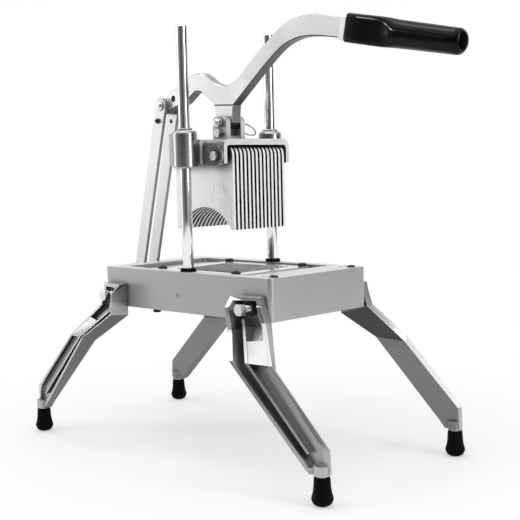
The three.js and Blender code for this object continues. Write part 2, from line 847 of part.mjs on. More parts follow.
// Places on the lever's edges: shares of its reach ahead of the pivot (or its
// tail behind it) and of its rise.
const topTailShares = [[0.9, 0.375], [0.77, 0.43], [0.55, 0.53], [0.38, 0.557], [0.277, 0.515], [0.18, 0.45]];
const topFrontShares = [
  [0.045, 0.403], [-0.01, 0.396], [-0.05, 0.4], [-0.107, 0.438], [-0.155, 0.498], [-0.271, 0.653],
  [-0.374, 0.779], [-0.474, 0.891], [-0.572, 0.968], [-0.632, 0.991], [-0.69, 1.004], [-0.75, 1.006],
  [-0.824, 0.998], [-0.93, 0.961], [-1, 0.94],
];
const bottomFrontShares = [
  [-0.985, 0.73], [-0.906, 0.756], [-0.829, 0.778], [-0.751, 0.792], [-0.671, 0.794], [-0.605, 0.775],
  [-0.546, 0.746], [-0.486, 0.695], [-0.408, 0.607], [-0.336, 0.516], [-0.265, 0.423], [-0.199, 0.335],
  [-0.083, 0.18],
];
const bottomTailShares = [
  [0.162, 0.195], [0.203, 0.242], [0.272, 0.293], [0.343, 0.341], [0.429, 0.365], [0.489, 0.347],
  [0.567, 0.294], [0.67, 0.235], [0.8, 0.215],
];
const lightHoleShares = [0.835, 0.307];

// The round of the tail's eye that closes the outline: shares of a full turn.
const eyeArcShares = [0.675, 1.31];

function leverPlace([along, up]) {
  const reach = along > 0 ? leverTail : leverReach;
  return new THREE.Vector2(along * reach, up * leverRise);
}

function makeLever() {
  const top = new THREE.SplineCurve([...topTailShares, ...topFrontShares].map(leverPlace));
  const bottomFront = new THREE.SplineCurve(bottomFrontShares.map(leverPlace));
  const bottomTail = new THREE.SplineCurve(bottomTailShares.map(leverPlace));
  const shape = new THREE.Shape([
    ...top.getPoints(leverSteps * 9),
    ...bottomFront.getPoints(leverSteps * 5),
    ...bottomTail.getPoints(leverSteps * 4),
  ]);
  const [eyeFrom, eyeTo] = eyeArcShares.map((share) => share * Math.PI * 2);
  shape.absarc(leverTail, leverTailRise, eyeRadius, eyeFrom, eyeTo, false);
  const plate = spread(shape, -leverThickness / 2, leverThickness / 2, leverEdge, leverSteps * 2);
  const lug = new THREE.Shape([
    leverPlace(bottomFrontShares[bottomFrontShares.length - 1]),
    new THREE.Vector2(-lugFront, 0),
  ]);
  const frontTangent = Math.PI + Math.acos(lugRadius / lugFront);
  const rearTangent = Math.PI * 2 - Math.acos(lugRadius / lugRear);
  lug.absarc(0, 0, lugRadius, frontTangent, rearTangent, false);
  lug.lineTo(lugRear, 0);
  const lugTop = leverPlace(bottomTailShares[0]);
  lug.lineTo(lugTop.x, lugTop.y);
  const start = gripOrigin();
  const tang = box(
    [-tangWidth / 2, tangWidth / 2],
    [-tangLength - ferruleLength, overrun * 2],
    [-tangHeight / 2, tangHeight / 2],
  );
  tang.rotateX(gripSlope);
  tang.translate(0, start.y, start.z - pivotHeight);
  const [holeY, holeZ] = leverPlace(lightHoleShares).toArray();
  const lever = withCuts(
    joined(
      plate,
      tang,
      spread(lug, -lugThickness / 2, lugThickness / 2, lugEdge, leverSteps * 2),
      across(eyeRadius, -tailBoss / 2, tailBoss / 2, leverTail, leverTailRise),
    ),
    across(pinDiameter / 2 + turningGap, -leverThickness, leverThickness, 0, 0),
    across(eyeHole / 2, -leverThickness, leverThickness, leverTail, leverTailRise),
    across(lightHole / 2, -leverThickness, leverThickness, holeY, holeZ, smallSides),
  );
  addPiece('lever', lever, brightAluminium).position.z = pivotHeight;
}

// The rounded edge at the grip's tip: shares of its rounding, inward and back from the tip.
const gripTipShares = [[0, 1], [0.08, 0.6], [0.3, 0.3], [0.6, 0.08], [1, 0]];

// The middle of the lever's front end, where the ferrule and grip begin.
function gripOrigin() {
  return new THREE.Vector3(0, -leverReach, pivotHeight + leverRise - gripDrop);
}

function makeGrip() {
  const start = gripOrigin();
  const tangHole = (from, to) => box(
    [-tangWidth / 2 - seatGap, tangWidth / 2 + seatGap],
    [from, to],
    [-tangHeight / 2 - seatGap, tangHeight / 2 + seatGap],
  );
  const section = (inset) => roundedRectangle(
    [-gripBlockWidth / 2 + inset, gripBlockWidth / 2 - inset],
    [-gripBlockHeight / 2 + inset, gripBlockHeight / 2 - inset],
    gripBlockCorner,
  );
  const ferruleFront = -ferruleLength;
  const blockFront = ferruleFront - gripBlockLength;
  const tip = ferruleFront - gripLength;
  const ferrule = withCuts(
    toSolid(deepened(section(leverEdge), ferruleFront + seatGap, -seatGap)),
    tangHole(ferruleFront - overrun, overrun),
  );
  const tipRadius = gripTipDiameter / 2;
  const stock = turned([
    [0, -ferruleFront + gripBlockLength / 2],
    [gripDiameter / 2, -ferruleFront + gripBlockLength / 2],
    ...gripTipShares.map(([inward, back]) => [tipRadius - gripTipRound * inward, -tip - gripTipRound * back]),
    [0, -tip],
  ], 0, 0, roundSides);
  stock.rotateX(Math.PI / 2);
  const grip = withCuts(
    joined(deepened(section(0), blockFront, ferruleFront), stock),
    tangHole(ferruleFront - tangLength - seatGap, ferruleFront + overrun),
  );
  for (const piece of [addPiece('grip_ferrule', ferrule, stainless), addPiece('grip', grip, blackPlastic)]) {
    piece.rotation.x = gripSlope;
    piece.position.copy(start);
  }
}

function linkLean() {
  return Math.atan2(linkPivotY - linkTopY, linkTopZ - linkPivotZ);
}

function makeLinks() {
  const length = Math.hypot(linkPivotY - linkTopY, linkTopZ - linkPivotZ);
  const taper = Math.asin((linkTopRadius - linkBottomRadius) / length);
  const shape = new THREE.Shape();
  shape.absarc(0, length, linkTopRadius, -taper, Math.PI + taper, false);
  shape.absarc(0, 0, linkBottomRadius, Math.PI + taper, Math.PI * 2 - taper, false);
  for (const [label, side] of sides) {
    const near = side * linkInner;
    const far = side * linkOuter;
    const from = Math.min(near, far);
    const to = Math.max(near, far);
    const bar = withCuts(
      toSolid(spread(shape, from, to, linkEdge, cornerSteps * 3)),
      across(linkPinDiameter / 2 + seatGap, from - overrun, to + overrun, 0, 0, smallSides),
      across(linkPinDiameter / 2 + seatGap, from - overrun, to + overrun, 0, length, smallSides),
      across(linkScrewDiameter / 2 + seatGap, from - overrun, to + overrun, 0,
        length - linkScrewDrop, smallSides),
    );
    const stub = (radius, headRadius, height) => {
      const profile = [
        [0, linkInner + seatGap],
        [radius, linkInner + seatGap],
        [radius, linkOuter + seatGap],
        [headRadius, linkOuter + seatGap],
        [headRadius, linkOuter + seatGap + linkPinHeadHeight * linkPinRimShare],
        [headRadius - linkPinHeadHeight * (1 - linkPinRimShare), linkOuter + seatGap + linkPinHeadHeight],
        [0, linkOuter + seatGap + linkPinHeadHeight],
      ];
      const geometry = turnedAlongX(profile, 0, height, smallSides);
      return side > 0 ? geometry : mirroredCopy(geometry, side, 1);
    };
    const pieces = [
      addPiece(`link_bar_${label}`, bar, castAluminium),
      addPiece(`link_top_pin_${label}`, stub(linkPinDiameter / 2, linkPinHead / 2, length), stainless),
      addPiece(`link_screw_${label}`, stub(linkScrewDiameter / 2, linkScrewHead / 2, length - linkScrewDrop),
        stainless),
    ];
    for (const piece of pieces) {
      piece.rotation.x = linkLean();
      piece.position.set(0, linkPivotY, linkPivotZ);
    }
  }
  const end = linkOuter + seatGap + linkPinHeadHeight;
  addPiece('link_base_pin', turnedAlongX([
    [0, -end],
    [linkPinHead / 2, -end],
    [linkPinHead / 2, -linkOuter - seatGap],
    [linkPinDiameter / 2, -linkOuter - seatGap],
    [linkPinDiameter / 2, end],
    [0, end],
  ], linkPivotY, linkPivotZ, smallSides), stainless);
}

function makeBracket() {
  const wall = baseRear + seatGap;
  const lugHalf = linkInner - seatGap;
  const lug = new THREE.Shape();
  lug.moveTo(wall, linkPivotZ - bracketHeight / 2);
  lug.lineTo(linkPivotY, linkPivotZ - bracketLugRadius);
  lug.absarc(linkPivotY, linkPivotZ, bracketLugRadius, -Math.PI / 2, Math.PI / 2, false);
  lug.lineTo(wall, linkPivotZ + bracketHeight / 2);
  const plate = box(
    [-bracketWidth / 2, bracketWidth / 2],
    [wall, wall + bracketPlate],
    [linkPivotZ - bracketHeight / 2, linkPivotZ + bracketHeight / 2],
  );
  let bracket = withCuts(
    joined(plate, spread(lug, -lugHalf, lugHalf, 0, cornerSteps * 2)),
    across(linkPinDiameter / 2 + turningGap, -lugHalf - overrun, lugHalf + overrun, linkPivotY, linkPivotZ),
  );
  const headSeat = wall + bracketPlate + seatGap;
  for (const [label, side] of sides) {
    const x = side * bracketScrewOffset;
    const hole = upright(boltShank / 2 + seatGap, wall - overrun, headSeat + overrun, 0, 0, smallSides);
    hole.rotateX(-Math.PI / 2);
    hole.translate(x, 0, linkPivotZ);
    bracket = withCuts(bracket, hole);
    const screw = joined(
      upright(boltShank / 2, baseRear - baseWall, headSeat + boltHeadHeight, 0, 0, smallSides),
      hexHead(boltHeadAcross, headSeat, headSeat + boltHeadHeight, 0, 0),
    );
    const geometry = toGeometry(screw);
    geometry.rotateX(-Math.PI / 2);
    geometry.translate(x, 0, linkPivotZ);
    addPiece(`bracket_screw_${label}`, geometry, stainless);
  }
  addPiece('link_bracket', bracket, castAluminium);
}

// Corner places of a leg at each bend: shares of its spread, stride and rise.
// Each row goes back edge, rim edge, far rim edge, far back edge.
const legStationShares = [
  [[0, 0.013, 1], [0.32, -0.013, 1], [0.18, 0.24, 1], [0, 0.23, 1]],
  [[0, 0.013, 0.933], [0.54, 0, 0.933], [0.19, 0.25, 0.94], [0, 0.24, 0.94]],
  [[0, 0.02, 0.765], [0.52, 0.02, 0.785], [0.19, 0.29, 0.84], [0, 0.29, 0.83]],
  [[0.586, 0.215, 0.582], [1, 0.188, 0.625], [0.68, 0.5, 0.607], [0.57, 0.5, 0.575]],
  [[0.6, 0.82, 0.042], [0.84, 0.827, 0.025], [0.68, 0.993, 0.163], [0.6, 0.978, 0.155]],
  [[0.6, 0.86, 0], [0.82, 0.86, 0], [0.68, 1, 0.012], [0.6, 0.99, 0.012]],
];
const channelTopShare = 0.4;
const channelEndShares = [0.95, 0.99];
const channelHeelShare = 0.7;

// The ridge along the channel and the panel over its bend: shares of the channel's width and depth.
const ridgeAcrossShares = [0.3, 0.39];
const panelAcrossShares = [0.345, 1.06];
const ridgeDepthShares = [-0.12, 0.62];
const panelDepthShares = [-0.12, 0.56];
const ridgeEndShares = [0.6, 0.97];
const panelTopShare = 0.4;
const footPlaceShares = [0.69, 0.931];

// The side of a foot below its neck, from the flat up: shares of its bulge or top radius, and of its height.
const footBulgeShares = [[0.82, 0.08], [1, 0.23], [0.98, 0.3]];
const footWaistShares = [[1.1, 0.5], [1, 0.75], [0.97, 1]];

function legCorner([out, along, up]) {
  return new THREE.Vector3(
    baseHalf + seatGap + out * legSpread,
    legMountY + along * legStride,
    legBottom + up * legRise,
  );
}

// The corners of the channel sunk into the outer side of the leg at one bend.
function channelCorners([backNear, rimNear, rimFar, backFar]) {
  const toward = (from, to, distance) => to.clone().sub(from).setLength(distance).add(from);
  const floorNear = toward(backNear, backFar, legFlange).add(toward(backNear, rimNear, legWeb).sub(backNear));
  const farDepth = Math.min(legWeb, backFar.distanceTo(rimFar) / 2);
  const floorFar = toward(backFar, backNear, legFlange).add(toward(backFar, rimFar, farDepth).sub(backFar));
  const lift = toward(backNear, rimNear, legFlange).sub(backNear);
  const mouthNear = toward(rimNear, rimFar, legFlange).add(lift);
  const mouthFar = toward(rimFar, rimNear, legFlange).add(lift);
  return [floorNear, mouthNear, mouthFar, floorFar];
}

function between(first, second, share) {
  return first.map((corner, i) => corner.clone().lerp(second[i], share));
}

// The corners of a bar inside the channel at one bend, from the channel's own corners there.
function innerCorners([floorNear, mouthNear, mouthFar, floorFar], acrossShares, depthShares) {
  const place = (acrossShare, depthShare) => floorNear.clone().lerp(floorFar, acrossShare)
    .lerp(mouthNear.clone().lerp(mouthFar, acrossShare), depthShare);
  const [first, last] = acrossShares;
  const [sunk, proud] = depthShares;
  return [place(first, sunk), place(first, proud), place(last, proud), place(last, sunk)];
}

function legShape() {
  const stations = legStationShares.map((row) => row.map(legCorner));
  const end = stations.length - 1;
  const nearEnd = between(stations[end - 2], stations[end - 1], channelEndShares[0]);
  const lowEnd = between(stations[end - 2], stations[end - 1], channelEndShares[1]);
  const heel = between(stations[end - 1], stations[end], channelHeelShare);
  lowEnd[2] = heel[2];
  lowEnd[3] = heel[3];
  const channel = [
    between(stations[0], stations[1], channelTopShare),
    ...stations.slice(1, end - 1),
    nearEnd,
    lowEnd,
  ].map(channelCorners);
  const ridgeStart = between(channel[1], channel[2], ridgeEndShares[0]);
  const ridgeEnd = between(channel[end - 2], channel[end - 1], ridgeEndShares[1]);
  const ridge = [ridgeStart, ...channel.slice(2, end - 1), ridgeEnd]
    .map((corners) => innerCorners(corners, ridgeAcrossShares, ridgeDepthShares));
  const panel = [between(channel[2], channel[3], panelTopShare), channel[3]]
    .map((corners) => innerCorners(corners, panelAcrossShares, panelDepthShares));
  const footX = baseHalf + seatGap + footPlaceShares[0] * legSpread;
  const footY = legMountY + footPlaceShares[1] * legStride;
  const boss = upright(legBossRadius, legBottom, legBottom + legBossHeight, footX, footY, smallSides);
  return withCuts(
    withCuts(toSolid(loft(stations)), loft(channel))
      .add(toSolid(loft(ridge)))
      .add(toSolid(loft(panel)))
      .add(toSolid(boss)),
    across(legBoltShank / 2 + seatGap, baseHalf - overrun, baseHalf + legSpread, legMountY + legBoltBack,
      deckHeight - legBoltDrop, smallSides),
    upright(footStud / 2 + seatGap, legBottom - overrun, legBottom + footStudGrip + seatGap,
      footX, footY, smallSides),
  );
}

function makeLegs() {
  const leg = toGeometry(legShape());
  const boltY = legMountY + legBoltBack;
  const boltZ = deckHeight - legBoltDrop;
  const plateFace = baseHalf + seatGap + legWeb + seatGap;
  const washerFace = plateFace + legWasherHeight;
  const corner = legBoltAcross / 2 / Math.cos(Math.PI / 6);
  const headFace = washerFace + legBoltStand;
  const bolt = toGeometry(joined(
    across(legBoltShank / 2, baseHalf - baseWall, headFace + legBoltHeadHeight, boltY, boltZ, smallSides),
    across(legWasherDiameter / 2, plateFace, washerFace, boltY, boltZ, smallSides),
    across(corner, headFace, headFace + legBoltHeadHeight, boltY, boltZ, 6),
  ));
  const footX = baseHalf + seatGap + footPlaceShares[0] * legSpread;
  const footY = legMountY + footPlaceShares[1] * legStride;
  const neck = legBottom - footNeckHeight - seatGap;
  const foot = toGeometry(toSolid(turned([
    [0, tableHeight],
    [footFlatRadius, tableHeight],
    ...footBulgeShares.map(([out, up]) => [footBulgeRadius * out, neck * up]),
    ...footWaistShares.map(([out, up]) => [footTopRadius * out, neck * up]),
    [footNeckRadius, neck],
    [footNeckRadius, neck + footNeckHeight],
    [footStud / 2, neck + footNeckHeight],
    [footStud / 2, legBottom + footStudGrip],
    [0, legBottom + footStudGrip],
  ], footX, footY, roundSides)));
  for (const [label, side] of sides) {
    for (const [where, end] of [['front', -1], ['rear', 1]]) {
      addPiece(`leg_${where}_${label}`, mirroredCopy(leg, side, end), castAluminium);
      addPiece(`leg_bolt_${where}_${label}`, mirroredCopy(bolt, side, end), stainless);
      addPiece(`foot_${where}_${label}`, mirroredCopy(foot, side, end), blackRubber);
    }
  }
}

makeBaseFrame();
makeRods();
makeCarrier();
makeBlades();
makeHead();
makeBushings();
makePusher();
makePusherBolts();
makeCrossBolt();
makeClevisPin();
makeLever();
makeGrip();
makeLinks();
makeBracket();
makeLegs();

// The origin is the middle of the machine's extent on the table.
const extent = new THREE.Box3().setFromObject(machine, true);
const middle = extent.getCenter(new THREE.Vector3());
machine.position.set(-middle.x, -middle.y, -extent.min.z);

export default machine;
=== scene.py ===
"""A hand-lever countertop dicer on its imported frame: detailed fasteners, grip and feet, cast and polished metals."""
import json
import math

import bmesh
import bpy
from mathutils import Matrix, Vector


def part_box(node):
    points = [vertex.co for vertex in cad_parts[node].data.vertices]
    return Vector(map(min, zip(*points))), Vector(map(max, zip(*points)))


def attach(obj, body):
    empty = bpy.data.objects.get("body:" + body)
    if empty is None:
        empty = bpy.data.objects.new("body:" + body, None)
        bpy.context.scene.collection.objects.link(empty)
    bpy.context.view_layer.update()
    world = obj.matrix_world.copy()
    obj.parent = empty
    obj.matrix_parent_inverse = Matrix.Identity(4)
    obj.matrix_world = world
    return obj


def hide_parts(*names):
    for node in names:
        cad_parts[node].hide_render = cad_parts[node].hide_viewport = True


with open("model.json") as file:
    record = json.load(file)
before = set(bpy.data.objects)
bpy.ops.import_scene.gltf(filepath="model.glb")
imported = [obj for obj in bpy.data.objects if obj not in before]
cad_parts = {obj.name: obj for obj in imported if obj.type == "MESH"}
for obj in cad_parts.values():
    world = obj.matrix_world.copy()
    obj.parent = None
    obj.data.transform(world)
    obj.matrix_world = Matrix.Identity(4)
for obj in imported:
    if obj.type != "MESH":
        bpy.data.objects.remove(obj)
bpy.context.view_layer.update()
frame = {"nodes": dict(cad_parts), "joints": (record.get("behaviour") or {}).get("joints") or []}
nodes = frame["nodes"]
scene = bpy.context.scene
MM = 0.001
X, Y, Z = 0, 1, 2
SIDES = (("left", -1), ("right", 1))
ENDS = ("front", "rear")


def middle(node):
    low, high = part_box(node)
    return (low + high) / 2


def placed(name, data):
    """Makes an object of this data in the scene."""
    made = bpy.data.objects.new(name, data)
    scene.collection.objects.link(made)
    return made


ROD_Y = middle("guide_rod_left").y


# Nodes

NOISE_LOW, NOISE_HIGH = 0.3, 0.7  # a noise lies mostly between these
FLAT, SHARP = 0.995, 0.8  # the rounded normal along the plain one, off an edge and on it
GRAIN_DEPTH = 0.1 * MM


class Nodes:
    """A node tree, emptied, with helpers that add nodes and link them."""

    def __init__(self, tree):
        self.tree = tree
        tree.nodes.clear()

    def new(self, kind, **settings):
        made = self.tree.nodes.new(kind)
        for key, value in settings.items():
            setattr(made, key, value)
        return made

    def feed(self, socket, value):
        if isinstance(value, bpy.types.NodeSocket):
            self.tree.links.new(value, socket)
        else:
            socket.default_value = value

    def maths(self, operation, first, second=0.0, clamp=False):
        made = self.new("ShaderNodeMath", operation=operation, use_clamp=clamp)
        self.feed(made.inputs[0], first)
        self.feed(made.inputs[1], second)
        return made.outputs[0]

    def span(self, value, low, high, to_low, to_high):
        """Takes the value from low and high to two other values."""
        made = self.new("ShaderNodeMapRange")
        self.feed(made.inputs["Value"], value)
        made.inputs["From Min"].default_value = low
        made.inputs["From Max"].default_value = high
        made.inputs["To Min"].default_value = to_low
        made.inputs["To Max"].default_value = to_high
        return made.outputs[0]

    def coordinates(self, kind):
        return self.new("ShaderNodeTexCoord").outputs[kind]

    def parts(self, kind):
        """X, Y and Z of these coordinates."""
        split = self.new("ShaderNodeSeparateXYZ")
        self.feed(split.inputs[0], self.coordinates(kind))
        return split.outputs

    def between(self, amount, first, second):
        made = self.new("ShaderNodeMix", data_type="FLOAT")
        self.feed(made.inputs[0], amount)
        self.feed(made.inputs[2], first)
        self.feed(made.inputs[3], second)
        return made.outputs[0]

    def mix(self, amount, first, second, blend="MIX"):
        made = self.new("ShaderNodeMix", data_type="RGBA", blend_type=blend)
        self.feed(made.inputs["Factor"], amount)
        self.feed(made.inputs["A"], first)
        self.feed(made.inputs["B"], second)
        return made.outputs["Result"]

    def shade_mix(self, amount, first, second):
        made = self.new("ShaderNodeMixShader")
        self.feed(made.inputs[0], amount)
        self.feed(made.inputs[1], first)
        self.feed(made.inputs[2], second)
        return made.outputs[0]


class Shader(Nodes):
    """A node material with object coordinates, in metres."""

    def __init__(self, name):
        self.material = bpy.data.materials.new(name)
        self.material.use_nodes = True
        super().__init__(self.material.node_tree)
        self.out = self.new("ShaderNodeOutputMaterial")
        self.bsdf = self.new("ShaderNodeBsdfPrincipled")
        self.feed(self.out.inputs["Surface"], self.bsdf.outputs[0])
        self.coords = self.coordinates("Object")

    def noise(self, scale, detail, stretch=(1, 1, 1)):
        mapping = self.new("ShaderNodeMapping")
        mapping.inputs["Scale"].default_value = stretch
        self.feed(mapping.inputs["Vector"], self.coords)
        made = self.new("ShaderNodeTexNoise")
        self.feed(made.inputs["Vector"], mapping.outputs[0])
        made.inputs["Scale"].default_value = scale
        made.inputs["Detail"].default_value = detail
        return made.outputs["Fac"]

    def varied(self, noise, least, most):
        """Spreads a noise between two values."""
        return self.span(noise, NOISE_LOW, NOISE_HIGH, least, most)

    def grey(self, value):
        made = self.new("ShaderNodeCombineColor")
        for socket in made.inputs[:3]:
            self.feed(socket, value)
        return made.outputs[0]

    def edges(self, radius):
        """(rounded normal, how near an edge this point lies, from 0 to 1)."""
        bevel = self.new("ShaderNodeBevel", samples=4)
        bevel.inputs["Radius"].default_value = radius
        plain = self.new("ShaderNodeNewGeometry").outputs["Normal"]
        dot = self.new("ShaderNodeVectorMath", operation="DOT_PRODUCT")
        self.feed(dot.inputs[0], bevel.outputs[0])
        self.feed(dot.inputs[1], plain)
        return bevel.outputs[0], self.span(dot.outputs["Value"], FLAT, SHARP, 0.0, 1.0)

    def recesses(self, distance):
        """How closed in this point lies, from 0 in the open to 1."""
        made = self.new("ShaderNodeAmbientOcclusion", samples=8)
        made.inputs["Distance"].default_value = distance
        return self.maths("SUBTRACT", 1.0, made.outputs["AO"], clamp=True)

    def bump(self, height, strength, normal):
        made = self.new("ShaderNodeBump")
        made.inputs["Strength"].default_value = strength
        made.inputs["Distance"].default_value = GRAIN_DEPTH
        self.feed(made.inputs["Height"], height)
        self.feed(made.inputs["Normal"], normal)
        return made.outputs[0]


# Materials

WEAR_SCALE, WEAR_LOW, WEAR_HIGH, WEAR_LEAST = 220, 0.35, 0.65, 0.55  # how unevenly edges are worn
WEAR_PALER, WEAR_SMOOTHER = 0.6, 0.35
GRIME_DULLER = 0.2
UNEVEN_POLISH = (0.85, 1.15)
METAL_GRAIN_ROUGHNESS = (-0.03, 0.05)
INNER_FACES = (-0.8, -0.35)  # share of the normal that looks outwards: inner faces fully in painted shade, and no longer
UPPER_FACES = (0.15, 0.6)  # share that looks up: no painted top light yet, and fully lit by it
UNDER_FACES = (-0.5, -0.2)  # share that looks up: under faces fully in painted shade, and no longer
MOULD_SCALE = 45
MOULD_EDGE = 0.5 * MM
MOULD_SHADES = (0.8, 1.3)
MOULD_POLISH = (0.8, 1.25)
MOULD_GRAIN_ROUGHNESS = (-0.02, 0.04)


def across(axis, shade, sign=0, near=0, far=0):
    """A face shade for metal(), partly machined finish, partly painted light and shade: faces across the axis, of one
    sign or both, near to far from the machine's middle in mm.
    """
    return axis, sign, shade, near, far


def metal(name, shade, rough, tint=(1, 1, 1), grain=1600, grain_bump=0.3, mottle=30, spread=0.05, stretch=(1, 1, 1),
          round_edge=0.7, wear=0.5, grime_and_shade=0.5, grime_and_shade_reach=6, closing=1.0, metallic=1.0, face_shades=(), face_from=0.72,
          face_to=0.9, cut_metallic=None, cut_rough=0.0, inner=None, painted_top_light=None, under=None):
    """A metal with grain or brushing, uneven polish, worn bright edges, and painted shade that darkens its recesses.

    face_shades lists faces with a shade of their own, partly a machined finish and partly painted light and shade by
    the way a face looks; face_from and face_to say how squarely these look along their axis, cut_metallic how metallic
    and cut_rough how much duller they are. inner is the painted shade of the faces that look towards the machine's
    middle, painted_top_light the painted light on faces that look up, under a share of painted shade for faces that
    look down.
    grime_and_shade sets how far recesses are darkened, a painted shade, and dulled.
    """
    s = Shader(name)
    broad = s.noise(mottle, detail=5)
    fine = s.noise(grain, detail=3, stretch=stretch)
    normal, edge = s.edges(round_edge * MM)
    worn = s.maths("MULTIPLY", edge, s.span(s.noise(WEAR_SCALE, detail=3), WEAR_LOW, WEAR_HIGH, WEAR_LEAST, 1.0))
    # painted shade in recesses: ambient occlusion within reach darkens the colour, and dulls the roughness a little
    closed = s.maths("MULTIPLY", s.recesses(grime_and_shade_reach * MM), closing, clamp=True)
    closed = s.maths("MULTIPLY", closed, grime_and_shade)
    tone = s.maths("MULTIPLY", s.varied(broad, 1 - spread, 1 + spread), s.varied(fine, 1 - spread, 1 + spread))
    facing, place = s.parts("Normal"), s.parts("Object")
    level, metalness, dull = shade, metallic, 0.0
    # painted shade on faces that look towards the machine's middle
    if inner:
        outwards = s.maths("MULTIPLY", facing[X], s.maths("SIGN", place[X]))
        level = s.span(outwards, *INNER_FACES, inner, shade)
    # painted light on faces that look up
    if painted_top_light:
        level = s.between(s.span(facing[Z], *UPPER_FACES, 0.0, 1.0), level, painted_top_light)
    # faces that look along an axis get a shade of their own: partly machined finish, partly painted light and shade
    for axis, sign, face_shade, near, far in face_shades:
        along = s.maths("MULTIPLY", facing[axis], sign) if sign else s.maths("ABSOLUTE", facing[axis])
        face_share = s.span(along, face_from, face_to, 0.0, 1.0)
        if near or far:
            reach = s.maths("ABSOLUTE", place[X])
            face_share = s.maths("MULTIPLY", face_share, s.maths("GREATER_THAN", reach, near * MM))
            face_share = s.maths("MULTIPLY", face_share, s.maths("LESS_THAN", reach, far * MM))
        level = s.between(face_share, level, face_shade)
        if cut_metallic is not None:
            metalness = s.between(face_share, metalness, cut_metallic)
        if cut_rough:
            dull = s.maths("MAXIMUM", dull, s.maths("MULTIPLY", face_share, cut_rough))
    # painted shade on faces that look down
    if under:
        level = s.maths("MULTIPLY", level, s.span(facing[Z], *UNDER_FACES, under, 1.0))
    tone = s.maths("MULTIPLY", tone, level)
    tone = s.maths("ADD", tone, s.maths("MULTIPLY", worn, wear * (1 - shade) * WEAR_PALER), clamp=True)
    # painted shade: the colour darkens in recesses
    tone = s.maths("MULTIPLY", tone, s.maths("SUBTRACT", 1.0, closed))
    s.feed(s.bsdf.inputs["Base Color"], s.mix(1.0, s.grey(tone), (*tint, 1), "MULTIPLY"))
    least, most = UNEVEN_POLISH
    uneven = s.maths("ADD", s.varied(broad, rough * least, rough * most), s.varied(fine, *METAL_GRAIN_ROUGHNESS))
    uneven = s.maths("SUBTRACT", uneven, s.maths("MULTIPLY", worn, rough * WEAR_SMOOTHER))
    uneven = s.maths("ADD", uneven, dull)
    s.feed(s.bsdf.inputs["Roughness"], s.maths("ADD", uneven, s.maths("MULTIPLY", closed, GRIME_DULLER), clamp=True))
    s.feed(s.bsdf.inputs["Metallic"], metalness)
    s.feed(s.bsdf.inputs["Normal"], s.bump(fine, grain_bump, normal))
    return s.material


def moulded(name, shade, rough, grain, grain_bump, dust, specular):
    """A moulded plastic or rubber with fine texture, dull patches and slightly paler worn edges."""
    s = Shader(name)
    broad = s.noise(MOULD_SCALE, detail=4)
    fine = s.noise(grain, detail=2)
    normal, edge = s.edges(MOULD_EDGE)
    darkest, palest = MOULD_SHADES
    tone = s.maths("ADD", s.varied(broad, shade * darkest, shade * palest), s.maths("MULTIPLY", edge, dust))
    s.feed(s.bsdf.inputs["Base Color"], s.grey(tone))
    least, most = MOULD_POLISH
    uneven = s.varied(broad, rough * least, rough * most)
    s.feed(s.bsdf.inputs["Roughness"], s.maths("ADD", uneven, s.varied(fine, *MOULD_GRAIN_ROUGHNESS), clamp=True))
    s.bsdf.inputs["Specular IOR Level"].default_value = specular
    s.feed(s.bsdf.inputs["Normal"], s.bump(fine, grain_bump, normal))
    return s.material


# Left and right faces darker, front and back a little lighter, the top lightest: painted light and shade by the way a
# face looks, beside the machined finish; recesses in painted shade.
satin = metal(
    "satin_base_casting", 0.55, 0.17, grain=2200, grain_bump=0.22, mottle=18, spread=0.03, wear=0.7, closing=1.5,
    face_shades=(across(X, 0.4), across(Y, 0.46), across(Z, 0.72, sign=1)), face_from=0.93, face_to=0.99, cut_metallic=0.4,
    cut_rough=0.16)
# Inner faces and under faces in painted shade, upward faces in painted light, and the channel recesses darkened by
# strong painted shade.
cast = metal(
    "polished_leg_casting", 0.5, 0.3, grain=1900, grain_bump=0.2, mottle=26, spread=0.035, wear=1.0, grime_and_shade=0.4,
    grime_and_shade_reach=30, closing=3, inner=0.22, painted_top_light=0.7, under=0.3)
# Front faces between the housings lighter, partly machined finish and partly painted light; the hood's flat sides dark
# with painted shade; recesses in painted shade.
hood_cast = metal(
    "head_casting", 0.46, 0.24, grain=1900, grain_bump=0.15, mottle=26, spread=0.04, wear=0.8, grime_and_shade=0.7,
    grime_and_shade_reach=10, closing=1.5, face_shades=(across(Y, 0.93, far=58), across(X, 0.14, near=40, far=58)), cut_metallic=0.25)
# Side faces lighter than the edges: partly polished finish, partly painted light.
bar_cast = metal(
    "link_bar_metal", 0.3, 0.32, grain=1900, grain_bump=0.15, stretch=(1, 1, 0.2), mottle=22, spread=0.025, wear=0.4,
    metallic=0.8, face_shades=(across(X, 0.7),))
# Side faces lighter, partly polished finish and partly painted light; the underside in painted shade.
lever_cast = metal(
    "lever_metal", 0.42, 0.3, grain=1900, grain_bump=0.15, mottle=20, spread=0.03, metallic=0.85,
    face_shades=(across(X, 0.79),), under=0.26)
